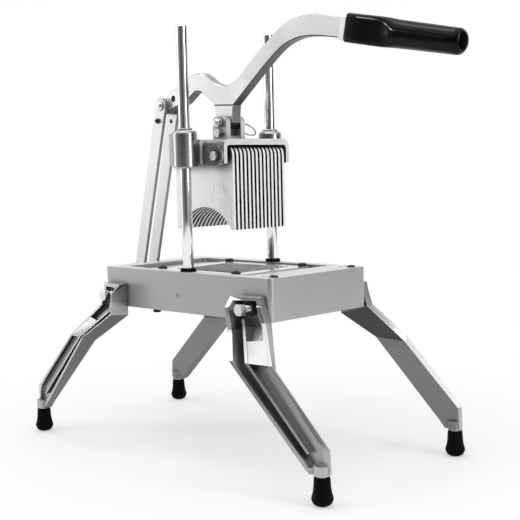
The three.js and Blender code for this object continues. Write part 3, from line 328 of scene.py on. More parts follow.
# Gaps between the slats painted near black, with painted shade on the walls facing across them and in the recesses; the
# front faces painted light beside their finish.
slat_metal = metal(
    "pusher_metal", 0.85, 0.3, grain=420, grain_bump=0.01, stretch=(1, 1, 0.04), mottle=14, spread=0.02,
    round_edge=0.25, wear=0.15, grime_and_shade=0.97, grime_and_shade_reach=14, closing=2.2, metallic=0.5,
    face_shades=(across(Y, 0.96), across(X, 0.1, far=41)), cut_metallic=0.1)
chrome = metal(
    "rod_chrome", 0.86, 0.06, grain=900, grain_bump=0.01, stretch=(1, 1, 0.05), mottle=12, spread=0.02, wear=0.2)
steel = metal(
    "fastener_steel", 0.74, 0.18, grain=2400, grain_bump=0.12, mottle=120, spread=0.06, wear=0.6, grime_and_shade=0.8,
    grime_and_shade_reach=3, round_edge=0.35)
turned_steel = metal(
    "turned_steel", 0.8, 0.12, grain=2000, grain_bump=0.08, mottle=90, spread=0.04, wear=0.4, grime_and_shade=0.8,
    grime_and_shade_reach=4, round_edge=0.3)
ground = metal(
    "blade_ground_steel", 0.8, 0.13, grain=1300, grain_bump=0.12, stretch=(1, 1, 0.08), mottle=60, wear=0.7,
    round_edge=0.2)
plate = metal(
    "carrier_steel", 0.9, 0.2, grain=1500, grain_bump=0.12, stretch=(1, 0.1, 1), mottle=24, spread=0.03,
    metallic=0.75)
oxide = metal(
    "black_oxide", 0.02, 0.34, grain=1800, grain_bump=0.2, mottle=150, spread=0.25, wear=0.15, grime_and_shade=0.4,
    round_edge=0.4, metallic=0.4)
bronze = metal("sintered_bronze", 0.42, 0.4, tint=(1, 0.94, 0.86), grain=2200, mottle=90, spread=0.07)
rubber = moulded("matt_rubber", 0.002, 0.6, grain=2000, grain_bump=0.3, dust=0.004, specular=0.06)
glossy = moulded("glossy_grip_plastic", 0.001, 0.11, grain=420, grain_bump=0.012, dust=0.001, specular=0.15)
ferrule_metal = metal("ferrule_metal", 0.95, 0.24, grain=1500, grain_bump=0.08, mottle=40, spread=0.03, metallic=0.25)
ring_wire = metal("ring_wire", 0.22, 0.22, grain=2400, grain_bump=0.1, mottle=160, spread=0.08, wear=0.2)


# CAD nodes that stay in view

WELD_WITHIN = 0.004 * MM
CRISP_FROM, EASED_FROM = math.radians(24), math.radians(28)  # angles between faces


def edge_group():
    """Nodes that weld a faceted solid, smooth it and keep its sharper edges crisp."""
    group = bpy.data.node_groups.new("crisp_edges", "GeometryNodeTree")
    group.interface.new_socket("Geometry", in_out="INPUT", socket_type="NodeSocketGeometry")
    group.interface.new_socket("Geometry", in_out="OUTPUT", socket_type="NodeSocketGeometry")
    start = group.nodes.new("NodeGroupInput")
    end = group.nodes.new("NodeGroupOutput")
    bare = group.nodes.new("GeometryNodeRemoveAttribute")
    bare.inputs["Name"].default_value = "custom_normal"
    weld = group.nodes.new("GeometryNodeMergeByDistance")
    weld.inputs["Distance"].default_value = WELD_WITHIN
    faces = group.nodes.new("GeometryNodeSetShadeSmooth")
    faces.domain = "FACE"
    faces.inputs["Shade Smooth"].default_value = True
    turn = group.nodes.new("GeometryNodeInputMeshEdgeAngle")
    wide = group.nodes.new("FunctionNodeCompare")
    wide.operation = "GREATER_THAN"
    wide.inputs["B"].default_value = CRISP_FROM
    crisp = group.nodes.new("GeometryNodeSetShadeSmooth")
    crisp.domain = "EDGE"
    crisp.inputs["Shade Smooth"].default_value = False
    link = group.links.new
    link(start.outputs[0], bare.inputs[0])
    link(bare.outputs[0], weld.inputs["Geometry"])
    link(weld.outputs[0], faces.inputs["Geometry"])
    link(faces.outputs[0], crisp.inputs["Geometry"])
    link(turn.outputs["Unsigned Angle"], wide.inputs["A"])
    link(wide.outputs[0], crisp.inputs["Selection"])
    link(crisp.outputs[0], end.inputs[0])
    return group


def dress(node, material, bevel, crisp_edges):
    """Gives a CAD node smooth faces, edges eased by the bevel in mm, and a material."""
    piece = nodes[node]
    piece.modifiers.new("crisp_edges", "NODES").node_group = crisp_edges
    if bevel:
        ease = piece.modifiers.new("eased_edges", "BEVEL")
        ease.width = bevel * MM
        ease.segments = 2
        ease.limit_method = "ANGLE"
        ease.angle_limit = EASED_FROM
        ease.harden_normals = True
        ease.use_clamp_overlap = True
        ease.miter_outer = "MITER_ARC"
    if not piece.material_slots:
        piece.data.materials.append(material)
    for slot in piece.material_slots:
        slot.link = "OBJECT"
        slot.material = material


LOOKS = (  # how a node's name starts, its material and its bevel in mm; the first that fits holds
    ("base_frame", satin, 0.8),
    ("leg_bolt", steel, 0),
    ("leg_", cast, 0.7),
    ("head_casting", hood_cast, 0.7),
    ("lever", lever_cast, 0.5),
    ("link_bar_", bar_cast, 0.4),
    ("link_bracket", cast, 0.6),
    ("pusher_block", slat_metal, 0.4),
    ("blade_carrier", plate, 0.3),
    ("blade_knob", steel, 0),
    ("blade_", ground, 0),
    ("grip_ferrule", ferrule_metal, 0.3),
    ("", steel, 0),
)


def dress_nodes():
    crisp_edges = edge_group()
    for name in nodes:
        _, material, bevel = next(look for look in LOOKS if name.startswith(look[0]))
        dress(name, material, bevel, crisp_edges)


# Geometry helpers. Profiles are [radius, height] points in mm, turned about local Z

HEX_SLOPE = math.radians(32)
HEX_POINTS, HEX_CHAMFER, HEX_INSET = 48, 0.25, 0.35
THREAD_START, THREAD_DEPTH = 0.3, 0.45  # shares of the pitch
EASE_STEPS = 3


def finished(name, mesh, material, body, stands_for=(), angle=30):
    """Makes a smooth-shaded piece of a bmesh, with edges above the angle crisp, on its body."""
    bmesh.ops.recalc_face_normals(mesh, faces=mesh.faces)
    for face in mesh.faces:
        face.smooth = True
    for edge in mesh.edges:
        if len(edge.link_faces) == 2 and edge.calc_face_angle() > math.radians(angle):
            edge.smooth = False
    data = bpy.data.meshes.new(name)
    mesh.to_mesh(data)
    mesh.free()
    piece = placed(name, data)
    data.materials.append(material)
    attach(piece, body)
    if stands_for:
        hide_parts(*stands_for)


def upright(centre):
    """A matrix at this centre's X and Y and at the height of the table."""
    return Matrix.Translation((centre.x, centre.y, 0))


def frame_along(axis, origin):
    """A matrix that takes local Z to the axis, at the origin."""
    turn = Vector((0, 0, 1)).rotation_difference(Vector(axis)).to_matrix().to_4x4()
    return Matrix.Translation(Vector(origin)) @ turn


def from_inner_end(side, low, high):
    """(matrix, length in mm) for what lies along X in this box: local Z points outwards from its inner end."""
    centre = (low + high) / 2
    return frame_along((side, 0, 0), (high.x if side < 0 else low.x, centre.y, centre.z)), (high.x - low.x) / MM


def skin(mesh, rings, closed=True):
    """Joins rings of points into a tube; a ring of one point closes an end."""
    made = [[mesh.verts.new(p) for p in ring] for ring in rings]
    for one, two in zip(made, made[1:]):
        count = max(len(one), len(two))
        for i in range(count):
            j = (i + 1) % count
            if len(one) == 1:
                mesh.faces.new((one[0], two[j], two[i]))
            elif len(two) == 1:
                mesh.faces.new((one[i], one[j], two[0]))
            else:
                mesh.faces.new((one[i], one[j], two[j], two[i]))
    if closed:
        for ring in (made[0], made[-1]):
            if len(ring) > 2:
                mesh.faces.new(ring)
    return made


def circle(radius, height, sides):
    if radius <= 0:
        return [Vector((0, 0, height))]
    return [Vector((radius * math.cos(2 * math.pi * i / sides), radius * math.sin(2 * math.pi * i / sides), height))
            for i in range(sides)]


def turned(profile, matrix, sides):
    return [[matrix @ p for p in circle(r * MM, h * MM, sides)] for r, h in profile]


def lathe(mesh, profile, matrix, sides=48):
    skin(mesh, turned(profile, matrix, sides))


def lathe_ring(mesh, profile, matrix, sides=48):
    """Turns a profile that closes on itself."""
    made = skin(mesh, turned(profile, matrix, sides), closed=False)
    first, last = made[0], made[-1]
    for i in range(sides):
        j = (i + 1) % sides
        mesh.faces.new((last[i], last[j], first[j], first[i]))


def eased(profile, radius=0.3):
    """Rounds the corners of an open profile."""
    result = [profile[0]]
    for before, here, after in zip(profile, profile[1:], profile[2:]):
        a, b, c = (Vector(p) for p in (before, here, after))
        reach = min(radius, (a - b).length / 2.05, (c - b).length / 2.05)  # just under half a side
        start = b + (a - b).normalized() * reach
        end = b + (c - b).normalized() * reach
        for i in range(EASE_STEPS + 1):
            t = i / EASE_STEPS
            result.append(tuple(start * (1 - t) ** 2 + b * 2 * t * (1 - t) + end * t ** 2))
    result.append(profile[-1])
    return result


def hexagon(mesh, across_flats, bottom, top, matrix):
    """A hexagonal head, in mm, with the turned chamfer of a real bolt or nut on its outer end."""
    flat, corner_turn = across_flats / 2, math.pi / 3
    low, high, cap = [], [], []
    for i in range(HEX_POINTS):
        angle = 2 * math.pi * i / HEX_POINTS
        reach = flat / math.cos((angle + math.pi / 6) % corner_turn - math.pi / 6)
        shoulder = top - HEX_CHAMFER - (reach - flat) * math.tan(HEX_SLOPE)
        direction = Vector((math.cos(angle), math.sin(angle), 0))
        for ring, out, height in ((low, reach, bottom), (high, reach, shoulder), (cap, flat - HEX_INSET, top)):
            ring.append(matrix @ (direction * out * MM + Vector((0, 0, height * MM))))
    skin(mesh, [low, high, cap])


def thread(mesh, radius, bottom, top, pitch, matrix, sides=32):
    """A screw thread drawn as close ridges."""
    start, root = radius - pitch * THREAD_START, radius - pitch * THREAD_DEPTH
    profile = [(0, bottom), (start, bottom)]
    turns = max(1, int((top - bottom) / pitch))
    step = (top - bottom) / turns
    for i in range(turns):
        profile.append((radius, bottom + (i + 0.5) * step))
        profile.append((root, bottom + (i + 1) * step))
    profile.append((0, top))
    lathe(mesh, profile, matrix, sides)


def washer(mesh, inner, outer, bottom, top, matrix):
    lathe_ring(mesh, eased([(inner, bottom), (outer, bottom), (outer, top), (inner, top)], 0.25), matrix, sides=40)


def shank(mesh, start, end, matrix, radius=3, tip=0.4, slope=0.5):
    """A plain shank in mm, chamfered where it starts."""
    lathe(mesh, [(0, start), (radius - tip, start), (radius, start + slope), (radius, end), (0, end)], matrix, sides=32)


# Camera at the photograph's place; its distances follow the rods

CAMERA_YAW, CAMERA_PITCH, CAMERA_ROLL = math.radians(45.73), math.radians(-4.54), math.radians(-1.37)
CAMERA_FROM_RODS = (-875.99 * MM, -895.67 * MM, 332.87 * MM)
IMAGE_SIZE, FOCAL_LENGTH, VIEW_CENTRE = 520, 1046.21, (256.87, 250.39)  # in pixels
SENSOR_WIDTH = 36


def add_camera():
    yaw, pitch, roll = CAMERA_YAW, CAMERA_PITCH, CAMERA_ROLL
    forward = Vector((math.sin(yaw) * math.cos(pitch), math.cos(yaw) * math.cos(pitch), math.sin(pitch)))
    right = Vector((math.cos(yaw), -math.sin(yaw), 0))
    up = right.cross(forward)
    level = right * math.cos(roll) + up * math.sin(roll)
    upward = up * math.cos(roll) - right * math.sin(roll)
    matrix = Matrix((level, upward, -forward)).transposed().to_4x4()
    x, y, z = CAMERA_FROM_RODS
    matrix.translation = Vector((x, y + ROD_Y, z))
    data = bpy.data.cameras.new("camera")
    camera = placed("camera", data)
    camera.matrix_world = matrix
    data.sensor_fit = "HORIZONTAL"
    data.sensor_width = SENSOR_WIDTH
    data.lens = FOCAL_LENGTH / IMAGE_SIZE * SENSOR_WIDTH
    data.shift_x = (IMAGE_SIZE / 2 - VIEW_CENTRE[0]) / IMAGE_SIZE
    data.shift_y = (VIEW_CENTRE[1] - IMAGE_SIZE / 2) / IMAGE_SIZE
    data.clip_start, data.clip_end = 0.02, 60
    scene.camera = camera


# Studio

WHITE = (1, 1, 1, 1)
FLAGS = (  # degrees round the room, counterclockwise from the camera, and brightness of the wall there
    (-44, 0.17), (-30, 0.12), (-20, 0.07), (2, 0.09), (12, 0.22), (20, 0.33), (38, 0.4), (66, 0.4), (71, 0.07),
    (108, 0.07), (116, 0.7), (150, 0.9), (170, 1.0), (186, 0.9), (205, 0.55), (230, 0.55), (237, 1.3), (260, 1.3),
    (268, 0.7), (278, 0.38), (300, 0.2), (315, 0.17),
)
FIRST_TURN = -44.3  # degrees from the camera to -X, where the ramp starts
BRIGHTEST = 2.0
CEILING, CEILING_FROM, CEILING_FULL = 0.4, 0.35, 0.7  # share of the brightest, and how far up a reflection looks
ROOM_LIGHT = 0.55
LAMPS = (  # name, place, aim and size in metres, power in watts
    ("top_softbox", (-0.3, -0.2, 1.9), (0, 0.05, 0.25), (2.2, 2.2), 11),
    ("left_softbox", (-0.86, 1.7, 0.8), (0, 0, 0.3), (0.8, 1.2), 3.5),
    ("window_light", (-1.34, 0.9, 1.26), (0, -0.2, 0.45), (0.18, 0.24), 4.5),
    ("front_softbox", (0.3, -1.9, 0.8), (0, 0, 0.3), (0.5, 1.4), 11),
    ("strip_light", (-0.1, 0.5, 1.85), (0, -0.2, 0.45), (0.5, 1.1), 4),
)
FLOOR_RADIUS, FLOOR_Y, FLOOR_GREY = 1.6, 0.04, 0.96
WHITER_FROM, WHITE_FROM, LEAST_GLOW = 0.26, 0.55, 0.45  # metres from the floor's middle, and glow within the first


def add_world():
    """White behind the object, even light, and dark and white flags round the room for reflections."""
    world = bpy.data.worlds.new("studio")
    scene.world = world
    world.use_nodes = True
    n = Nodes(world.node_tree)
    direction = n.parts("Generated")
    bearing = n.maths("ARCTAN2", direction[Y], direction[X])
    walls = n.new("ShaderNodeValToRGB")
    n.feed(walls.inputs[0], n.span(bearing, -math.pi, math.pi, 0.0, 1.0))
    ramp = walls.color_ramp
    for place, (turn, value) in enumerate(FLAGS):
        share = min(max((turn - FIRST_TURN) / 360, 0.0), 1.0)
        stop = ramp.elements[0] if place == 0 else ramp.elements.new(share)
        stop.position = share
        stop.color = (value / BRIGHTEST, value / BRIGHTEST, value / BRIGHTEST, 1)
    last = next(e for e in ramp.elements if e.position == 1.0)
    last.color = ramp.elements[0].color
    height = n.span(direction[Z], CEILING_FROM, CEILING_FULL, 0.0, 1.0)
    mirrored = n.mix(height, walls.outputs[0], (CEILING, CEILING, CEILING, 1))

    def background(colour, strength):
        made = n.new("ShaderNodeBackground")
        n.feed(made.inputs["Color"], colour)
        made.inputs["Strength"].default_value = strength
        return made.outputs[0]

    rays = n.new("ShaderNodeLightPath")
    room = n.shade_mix(rays.outputs["Is Glossy Ray"], background(WHITE, ROOM_LIGHT), background(mirrored, BRIGHTEST))
    seen = n.shade_mix(rays.outputs["Is Camera Ray"], room, background(WHITE, 1.0))
    n.feed(n.new("ShaderNodeOutputWorld").inputs[0], seen)


def add_lamps():
    for name, place, aim, size, power in LAMPS:
        data = bpy.data.lights.new(name, "AREA")
        data.shape = "RECTANGLE"
        data.size, data.size_y = size
        data.energy = power
        lamp = placed(name, data)
        lamp.location = place
        lamp.rotation_euler = (Vector(aim) - Vector(place)).to_track_quat("-Z", "Y").to_euler()


def add_floor():
    """A pale floor that keeps the object's shadow and turns white away from it."""
    mesh = bmesh.new()
    bmesh.ops.create_circle(mesh, cap_ends=True, segments=96, radius=FLOOR_RADIUS)
    data = bpy.data.meshes.new("floor")
    mesh.to_mesh(data)
    mesh.free()
    floor = placed("floor", data)
    floor.location = (0, FLOOR_Y, 0)
    s = Shader("pale_floor")
    s.bsdf.inputs["Base Color"].default_value = (FLOOR_GREY, FLOOR_GREY, FLOOR_GREY, 1)
    s.bsdf.inputs["Roughness"].default_value = 0.6
    s.bsdf.inputs["Specular IOR Level"].default_value = 0.2
    away = s.new("ShaderNodeVectorMath", operation="LENGTH")
    s.feed(away.inputs[0], s.coords)
    fade = s.span(away.outputs["Value"], WHITER_FROM, WHITE_FROM, LEAST_GLOW, 1.0)
    rays = s.new("ShaderNodeLightPath")
    seen = s.maths("MAXIMUM", rays.outputs["Is Camera Ray"], rays.outputs["Is Glossy Ray"])
    glow = s.new("ShaderNodeEmission")
    glow.inputs["Strength"].default_value = 1.0
    s.feed(s.out.inputs["Surface"], s.shade_mix(s.maths("MULTIPLY", fade, seen), s.bsdf.outputs[0], glow.outputs[0]))
    data.materials.append(s.material)


# Pieces that stand for turned, moulded and screwed nodes, in mm

RUNNING_GAP = 0.3  # between a rod and what goes round it
ROD_TIP = 1.5
RING_STRAIGHT, RING_SLOPE = 2.1, 0.9
BUSHING_CHAMFER = 0.9
FOOT_HEIGHT, FOOT_COLLAR, FOOT_GAP = 31, 1.6, 0.3
FOOT_TREAD, FOOT_TOP, FOOT_MOUTH = 5, 8.6, 6.4  # radii
COLLAR_RADIUS, STUD_RADIUS = 6.2, 3.0


def add_rods():
    for label, _ in SIDES:
        low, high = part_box(f"guide_rod_{label}")
        at = upright((low + high) / 2)
        radius = (high.x - low.x) / 2 / MM
        inner = radius + RUNNING_GAP
        bottom, top = low.z / MM, high.z / MM
        mesh = bmesh.new()
        lathe(mesh, eased([(0, bottom), (radius, bottom), (radius, top - ROD_TIP), (radius - ROD_TIP, top), (0, top)],
                          radius=0.5), at, sides=72)
        finished(f"polished_rod_{label}", mesh, chrome, "frame", [f"guide_rod_{label}"])
        low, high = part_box(f"rod_ring_{label}")
        outer = (high.x - low.x) / 2 / MM
        bottom, top = low.z / MM, high.z / MM
        mesh = bmesh.new()
        lathe_ring(mesh, eased([(inner, bottom), (outer, bottom), (outer, bottom + RING_STRAIGHT),
                                (outer - RING_SLOPE, top), (inner, top)], radius=0.45), at, sides=64)
        finished(f"rubber_ring_{label}", mesh, rubber, "frame", [f"rod_ring_{label}"])
        low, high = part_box(f"bushing_{label}")
        outer = (high.x - low.x) / 2 / MM
        bottom, top = low.z / MM, high.z / MM
        mesh = bmesh.new()
        lathe_ring(mesh, eased([(inner, bottom), (outer, bottom), (outer, top - BUSHING_CHAMFER),
                                (outer - BUSHING_CHAMFER, top), (inner + BUSHING_CHAMFER, top),
                                (inner, top - BUSHING_CHAMFER)]), at, sides=64)
        finished(f"turned_bushing_{label}", mesh, bronze, "head", [f"bushing_{label}"])


def add_feet():
    neck = FOOT_HEIGHT - FOOT_COLLAR - FOOT_GAP
    for where in ENDS:
        for label, _ in SIDES:
            name = f"foot_{where}_{label}"
            low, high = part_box(name)
            at = upright((low + high) / 2)
            bulge = (high.x - low.x) / 2 / MM
            outline = [(0, 0), (FOOT_TREAD, 0), (bulge * 0.82, neck * 0.08), (bulge, neck * 0.23),
                       (bulge * 0.985, neck * 0.3), (FOOT_TOP * 1.12, neck * 0.46), (FOOT_TOP * 1.02, neck * 0.66),
                       (FOOT_TOP * 0.985, neck * 0.9), (FOOT_TOP * 0.93, neck), (FOOT_MOUTH, neck), (0, neck)]
            mesh = bmesh.new()
            lathe(mesh, eased(outline, radius=1.1), at, sides=56)
            finished(f"rubber_foot_{where}_{label}", mesh, rubber, "frame", [name])
            collar_top = neck + FOOT_COLLAR
            mesh = bmesh.new()
            lathe(mesh, eased([(0, neck - 0.5), (COLLAR_RADIUS, neck - 0.5), (FOOT_MOUTH, collar_top),
                               (0, collar_top)]), at, sides=40)
            thread(mesh, STUD_RADIUS, neck + 1.5, high.z / MM, pitch=1.0, matrix=at, sides=24)
            finished(f"foot_stud_{where}_{label}", mesh, steel, "frame")


LEG_HEAD, LEG_BARE, LEG_PADS = 7, 10, 5  # head, thread between it and the washers, washers
LEG_PLAIN, LEG_RADIUS, LEG_FLATS = 10.5, 4, 12  # the first without thread
LEG_HOLE, LEG_WASHERS = 4.3, ((8.5, 0, 2.2), (7.2, 2.5, 5.0))  # outer radius, start and end over the first one's seat
SMALL_HEAD, SMALL_FLATS = 4, 10
CROSS_HEAD, CROSS_NUT, CROSS_FLATS = 5, 4, 9
WASHER_HOLE, WASHER_RADIUS = 3.2, 6.5
WASHER_BACK, WASHER_FACE = 5.2, 4.1  # from the outer end of the head


def add_leg_bolts():
    for where in ENDS:
        for label, side in SIDES:
            name = f"leg_bolt_{where}_{label}"
            low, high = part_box(name)
            at, length = from_inner_end(side, low, high)
            mesh = bmesh.new()
            shank(mesh, 0, LEG_PLAIN, at, LEG_RADIUS, tip=0.2, slope=0.4)
            thread(mesh, LEG_RADIUS - 0.05, LEG_PLAIN - 0.1, length - LEG_HEAD, pitch=1.25, matrix=at)
            hexagon(mesh, LEG_FLATS, length - LEG_HEAD, length, at)
            finished(f"leg_hex_bolt_{where}_{label}", mesh, steel, "frame", [name])
            seat = length - LEG_HEAD - LEG_BARE - LEG_PADS
            mesh = bmesh.new()
            for outer, bottom, top in LEG_WASHERS:
                washer(mesh, LEG_HOLE, outer, seat + bottom, seat + top, at)
            finished(f"leg_washer_{where}_{label}", mesh, oxide, "frame")


def add_head_bolts():
    for label, side in SIDES:
        name = f"pusher_bolt_{label}"
        low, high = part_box(name)
        at, length = from_inner_end(side, low, high)
        neck = length - SMALL_HEAD
        mesh = bmesh.new()
        shank(mesh, 0, neck, at)
        hexagon(mesh, SMALL_FLATS, neck, length, at)
        finished(f"pusher_hex_bolt_{label}", mesh, steel, "head", [name])
        mesh = bmesh.new()
        washer(mesh, WASHER_HOLE, WASHER_RADIUS, length - WASHER_BACK, length - WASHER_FACE, at)
        finished(f"pusher_washer_{label}", mesh, oxide, "head")
    low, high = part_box("cross_bolt")
    centre = (low + high) / 2
    at = frame_along((-1, 0, 0), (0, centre.y, centre.z))
    back = frame_along((1, 0, 0), (0, centre.y, centre.z))
    left, right = -low.x / MM, high.x / MM
    mesh = bmesh.new()
    shank(mesh, -right, left - CROSS_HEAD, at)
    hexagon(mesh, CROSS_FLATS, left - CROSS_HEAD, left, at)
    hexagon(mesh, CROSS_FLATS, right - CROSS_NUT, right - 0.3, back)
    finished("ear_cross_bolt", mesh, steel, "head", ["cross_bolt"])


def add_frame_screws():
    for label, _ in SIDES:
        name = f"bracket_screw_{label}"
        low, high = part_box(name)
        centre = (low + high) / 2
        at = frame_along((0, 1, 0), (centre.x, low.y, centre.z))
        length = (high.y - low.y) / MM
        mesh = bmesh.new()
        shank(mesh, 0, length - SMALL_HEAD, at)
        hexagon(mesh, SMALL_FLATS, length - SMALL_HEAD, length, at)
        finished(f"bracket_hex_screw_{label}", mesh, steel, "frame", [name])
        name = f"rod_screw_{label}"
        low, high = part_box(name)
        centre = (low + high) / 2
        at = frame_along((0, 0, -1), (centre.x, centre.y, high.z))
        length = (high.z - low.z) / MM
        mesh = bmesh.new()
        thread(mesh, 2.98, 0, length - WASHER_BACK, pitch=1.0, matrix=at, sides=24)
        washer(mesh, WASHER_HOLE, WASHER_RADIUS, length - WASHER_BACK, length - WASHER_FACE, at)
        hexagon(mesh, SMALL_FLATS, length - SMALL_HEAD, length, at)
        finished(f"rod_hex_screw_{label}", mesh, steel, "frame", [name])


KNOB_HEIGHT, KNOB_RADIUS, KNOB_SIDES = 3.6, 5.5, 60
KNURL_DEPTH, KNURL_PERIOD, KNURL_GROOVE = 0.06, 4, (0, 1)  # share of the radius, points, those of them in a groove


def knurled(i, point):
    inset = 1 - KNURL_DEPTH * (i % KNURL_PERIOD in KNURL_GROOVE)
    return Vector((point.x * inset, point.y * inset, point.z))


def add_knobs():
    for where in ENDS:
        for label, _ in SIDES:
            name = f"blade_knob_{where}_{label}"
            low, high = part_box(name)
            at = upright((low + high) / 2)
            seat = high.z / MM - KNOB_HEIGHT
            outline = [(2.5, low.z / MM), (2.5, seat), (4.9, seat), (KNOB_RADIUS, seat + 0.5),
                       (KNOB_RADIUS, seat + 2.3), (4.4, seat + 3.4), (3.4, seat + KNOB_HEIGHT), (2.2, seat + 3.0),
                       (0, seat + 3.0)]
            rings = []
            for radius, height in outline:
                ring = circle(radius * MM, height * MM, KNOB_SIDES)
                if radius == KNOB_RADIUS:
                    ring = [knurled(i, p) for i, p in enumerate(ring)]
                rings.append([at @ p for p in ring])
            mesh = bmesh.new()
            skin(mesh, rings)
            finished(f"knurled_knob_{where}_{label}", mesh, oxide, "frame", [name])


PIN_HEAD = 7.5  # length of its head
RING_DROOP, RING_START, RING_TURNS = 0.64, math.pi - math.radians(20), 1.12  # the first two in radians
RING_STEPS, WIRE_SIDES = 132, 12
SOLID_WIRE, WIRE, WIRE_LIFT = 0.75 * MM, 0.72 * MM, 0.12 * MM  # radius in the solid and here, and how ends part


def add_pin():
    low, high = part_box("clevis_pin")
    centre = (low + high) / 2
    at = frame_along((1, 0, 0), (0, centre.y, centre.z))
    left, right = low.x / MM, high.x / MM
    head = (high.z - low.z) / 2 / MM
    face = left + PIN_HEAD
    mesh = bmesh.new()
    lathe(mesh, eased([(0, left), (head - 1.9, left), (head, left + 2.25), (head, face - 2.2), (head - 0.9, face - 1.9),
                       (head - 0.9, face - 1.5), (head, face - 1.2), (head, face), (4, face), (4, right - 9.6),
                       (3, right - 9.1), (3, right - 0.8), (2.2, right), (0, right)], radius=0.35), at, sides=56)
    finished("turned_clevis_pin", mesh, turned_steel, "head", ["clevis_pin"])


def add_ring():
    """A split ring of wire through the pin's hole, a little over one turn, that hangs with a droop."""
    low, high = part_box("pin_ring")
    joint = next(j for j in frame["joints"] if j["name"] == "ring_swing")
    out = Vector((math.cos(RING_DROOP), 0, -math.sin(RING_DROOP)))
    side = Vector((0, 1, 0))
    normal = out.cross(side).normalized()
    radius = (high.y - low.y) / 2 - SOLID_WIRE
    centre = Vector(joint["pos_m"]) + out * radius
    rings = []
    for k in range(RING_STEPS + 1):
        angle = RING_START + 2 * math.pi * RING_TURNS * k / RING_STEPS
        lift = WIRE_LIFT * math.tanh((k / RING_STEPS - 0.5) * 6)
        here = out * math.cos(angle) + side * math.sin(angle)
        spot = centre + here * (radius + lift) + normal * lift
        turns = [2 * math.pi * i / WIRE_SIDES for i in range(WIRE_SIDES)]
        rings.append([spot + (here * math.cos(turn) + normal * math.sin(turn)) * WIRE for turn in turns])
    mesh = bmesh.new()
    skin(mesh, rings)
    finished("split_wire_ring", mesh, ring_wire, "ring", ["pin_ring"])


LINK_HEAD = 3.4
TOP_PIN_RADIUS, TOP_PIN_HEAD = 4, 6
LINK_SCREW_RADIUS, LINK_SCREW_HEAD = 2.5, 3.1
BASE_PIN_RADIUS, BASE_PIN_HEAD = 4, 6


def add_link_pins():
    for label, side in SIDES:
        for kind in ("top_pin", "screw"):
            name = f"link_{kind}_{label}"
            low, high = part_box(name)
            at, length = from_inner_end(side, low, high)
            seat = length - LINK_HEAD
            mesh = bmesh.new()
            if kind == "top_pin":
                radius, head = TOP_PIN_RADIUS, TOP_PIN_HEAD
                profile = [(0, 0), (radius, 0), (radius, seat), (head, seat), (head, seat + 1.5),
                           (head - 0.8, seat + 2.5), (head - 2.4, seat + 3.2), (0, seat + LINK_HEAD)]
                lathe(mesh, eased(profile, radius=0.5), at)
                finished(f"domed_top_pin_{label}", mesh, turned_steel, "links", [name])
            else:
                radius, head = LINK_SCREW_RADIUS, LINK_SCREW_HEAD
                profile = [(0, 0), (radius, 0), (radius, seat), (head, seat), (head, seat + 1.6),
                           (head - 0.7, seat + 2.9), (2.0, seat + 3.3), (1.6, seat + 3.3), (1.5, seat + 1.6),
                           (0, seat + 1.5)]
                lathe(mesh, eased(profile, radius=0.2), at)
                finished(f"link_pan_screw_{label}", mesh, oxide, "links", [name])
    low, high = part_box("link_base_pin")
    centre = (low + high) / 2
    at = frame_along((1, 0, 0), (0, centre.y, centre.z))
    half = (high.x - low.x) / 2 / MM
    radius, head = BASE_PIN_RADIUS, BASE_PIN_HEAD
    mesh = bmesh.new()
    lathe(mesh, eased([(0, -half), (4, -half + 0.2), (5.2, -half + 0.9), (head, -half + 2), (head, -half + LINK_HEAD),
                       (radius, -half + LINK_HEAD), (radius, half - LINK_HEAD), (radius, half - 0.6), (3.4, half),
                       (0, half)], radius=0.35), at)
    circlip = [(radius + 0.05, half - 2.9), (5.9, half - 2.9), (5.9, half - 1.3), (radius + 0.05, half - 1.3)]
    lathe_ring(mesh, eased(circlip, radius=0.2), at)
    finished("link_pivot_pin", mesh, turned_steel, "links", ["link_base_pin"])


GRIP_AHEAD, GRIP_HEIGHT, GRIP_SLOPE = 0.182, 0.386 + 0.111 - 0.0184, 0.2025  # metres before the rods and up, radians
GRIP_FIRST, GRIP_LENGTH, GRIP_SIDES = 7.4, 141.2, 88
CIRCLE = 2.0  # power of the rounding that gives one
GRIP_STATIONS = (  # distance along the grip, half width, half height, power of the rounding
    (0.0, 11.6, 14.6, 7), (0.5, 12.25, 15.25, 7), (1.6, 12.5, 15.5, 7.5), (18, 12.5, 15.5, 7.5), (34, 12.5, 15.5, 7.5),
    (44, 12.5, 15.5, 7), (49, 12.6, 15.45, 5.5), (53, 12.95, 15.2, 4), (57, 13.7, 14.9, 2.9),
    (61, 14.4, 14.65, 2.25), (65, 14.55, 14.6, CIRCLE),
)
ROUND_FROM, ROUND_RADIUS, TAIL_RADIUS, TAIL_ROUNDING = 65, 14.55, 13.3, 6.5
TAPER_SHARES = (0.2, 0.45, 0.7, 0.9, 1.0)
END_STEPS = 6


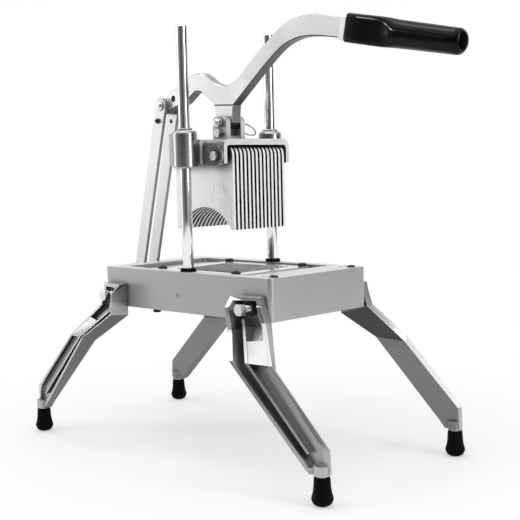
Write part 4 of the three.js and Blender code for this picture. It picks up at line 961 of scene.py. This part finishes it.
def add_grip():
    """A grip with a flat-sided front that turns round along its length and ends in a rounded tail."""
    start = Vector((0, ROD_Y - GRIP_AHEAD, GRIP_HEIGHT))
    at = Matrix.Translation(start) @ Matrix.Rotation(GRIP_SLOPE, 4, "X") @ Matrix.Rotation(math.pi / 2, 4, "X")
    stations = list(GRIP_STATIONS)
    round_to = GRIP_LENGTH - TAIL_ROUNDING
    for share in TAPER_SHARES:
        radius = ROUND_RADIUS + (TAIL_RADIUS - ROUND_RADIUS) * share
        stations.append((ROUND_FROM + (round_to - ROUND_FROM) * share, radius, radius, CIRCLE))
    for i in range(1, END_STEPS + 1):
        turn = math.pi / 2 * i / END_STEPS
        radius = TAIL_RADIUS - TAIL_ROUNDING * (1 - math.cos(turn))
        stations.append((round_to + TAIL_ROUNDING * math.sin(turn), radius, radius, CIRCLE))
    rings = []
    for along, half_width, half_height, power in stations:
        ring = []
        for i in range(GRIP_SIDES):
            angle = 2 * math.pi * i / GRIP_SIDES
            c, s = math.cos(angle), math.sin(angle)
            grow = (abs(c / half_width) ** power + abs(s / half_height) ** power) ** (-1 / power)
            ring.append(at @ Vector((c * grow * MM, s * grow * MM, (GRIP_FIRST + along) * MM)))
        rings.append(ring)
    rings.append([at @ Vector((0, 0, (GRIP_FIRST + stations[-1][0]) * MM))])
    mesh = bmesh.new()
    skin(mesh, rings)
    finished("moulded_grip", mesh, glossy, "lever", ["grip"], angle=50)


GRUB_BEHIND_RODS, GRUB_HEIGHT = 0.0089, 0.1879  # places in metres
BUFFER_SIDE, BUFFER_BEHIND_RODS = 0.0765, 0.0512
DECK_SCREW_SIDE, DECK_SCREW_AHEAD = 0.0654, 0.1301
GRUB = [(0, -5.5), (1.6, -5.5), (1.6, -0.1), (1.9, -0.1), (1.9, 0.0), (1.0, 0.0), (0.9, -0.9), (0, -0.9)]
BUFFER = [(0, -3.6), (3.6, -3.6), (4.6, -2.8), (4.6, -0.05), (2.4, -0.05), (2.4, 6.0), (0, 6.0)]
DECK_SCREW = [(0, -6), (2.4, -6), (2.4, 0.05), (4.6, 0.05), (4.6, 1.2), (3.4, 2.1), (1.6, 2.3), (1.5, 0.9), (0, 0.9)]


def add_small_fittings():
    """A grub screw in the base's left side, buffers under its edges and pan head screws in its top."""
    low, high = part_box("base_frame")
    at = frame_along((-1, 0, 0), (low.x, ROD_Y + GRUB_BEHIND_RODS, GRUB_HEIGHT))
    mesh = bmesh.new()
    lathe(mesh, eased(GRUB, radius=0.1), at, sides=28)
    finished("side_grub_screw", mesh, oxide, "frame")
    for label, side in SIDES:
        at = Matrix.Translation((side * BUFFER_SIDE, ROD_Y + BUFFER_BEHIND_RODS, low.z))
        mesh = bmesh.new()
        lathe(mesh, eased(BUFFER, radius=0.5), at, sides=36)
        finished(f"edge_buffer_{label}", mesh, rubber, "frame")
        at = Matrix.Translation((side * DECK_SCREW_SIDE, ROD_Y - DECK_SCREW_AHEAD, high.z))
        mesh = bmesh.new()
        lathe(mesh, eased(DECK_SCREW, radius=0.25), at, sides=40)
        finished(f"deck_screw_{label}", mesh, oxide, "frame")


add_camera()
add_world()
add_lamps()
add_floor()
dress_nodes()
add_rods()
add_feet()
add_leg_bolts()
add_head_bolts()
add_frame_screws()
add_knobs()
add_pin()
add_ring()
add_link_pins()
add_grip()
add_small_fittings()

scene.view_settings.view_transform = "Standard"
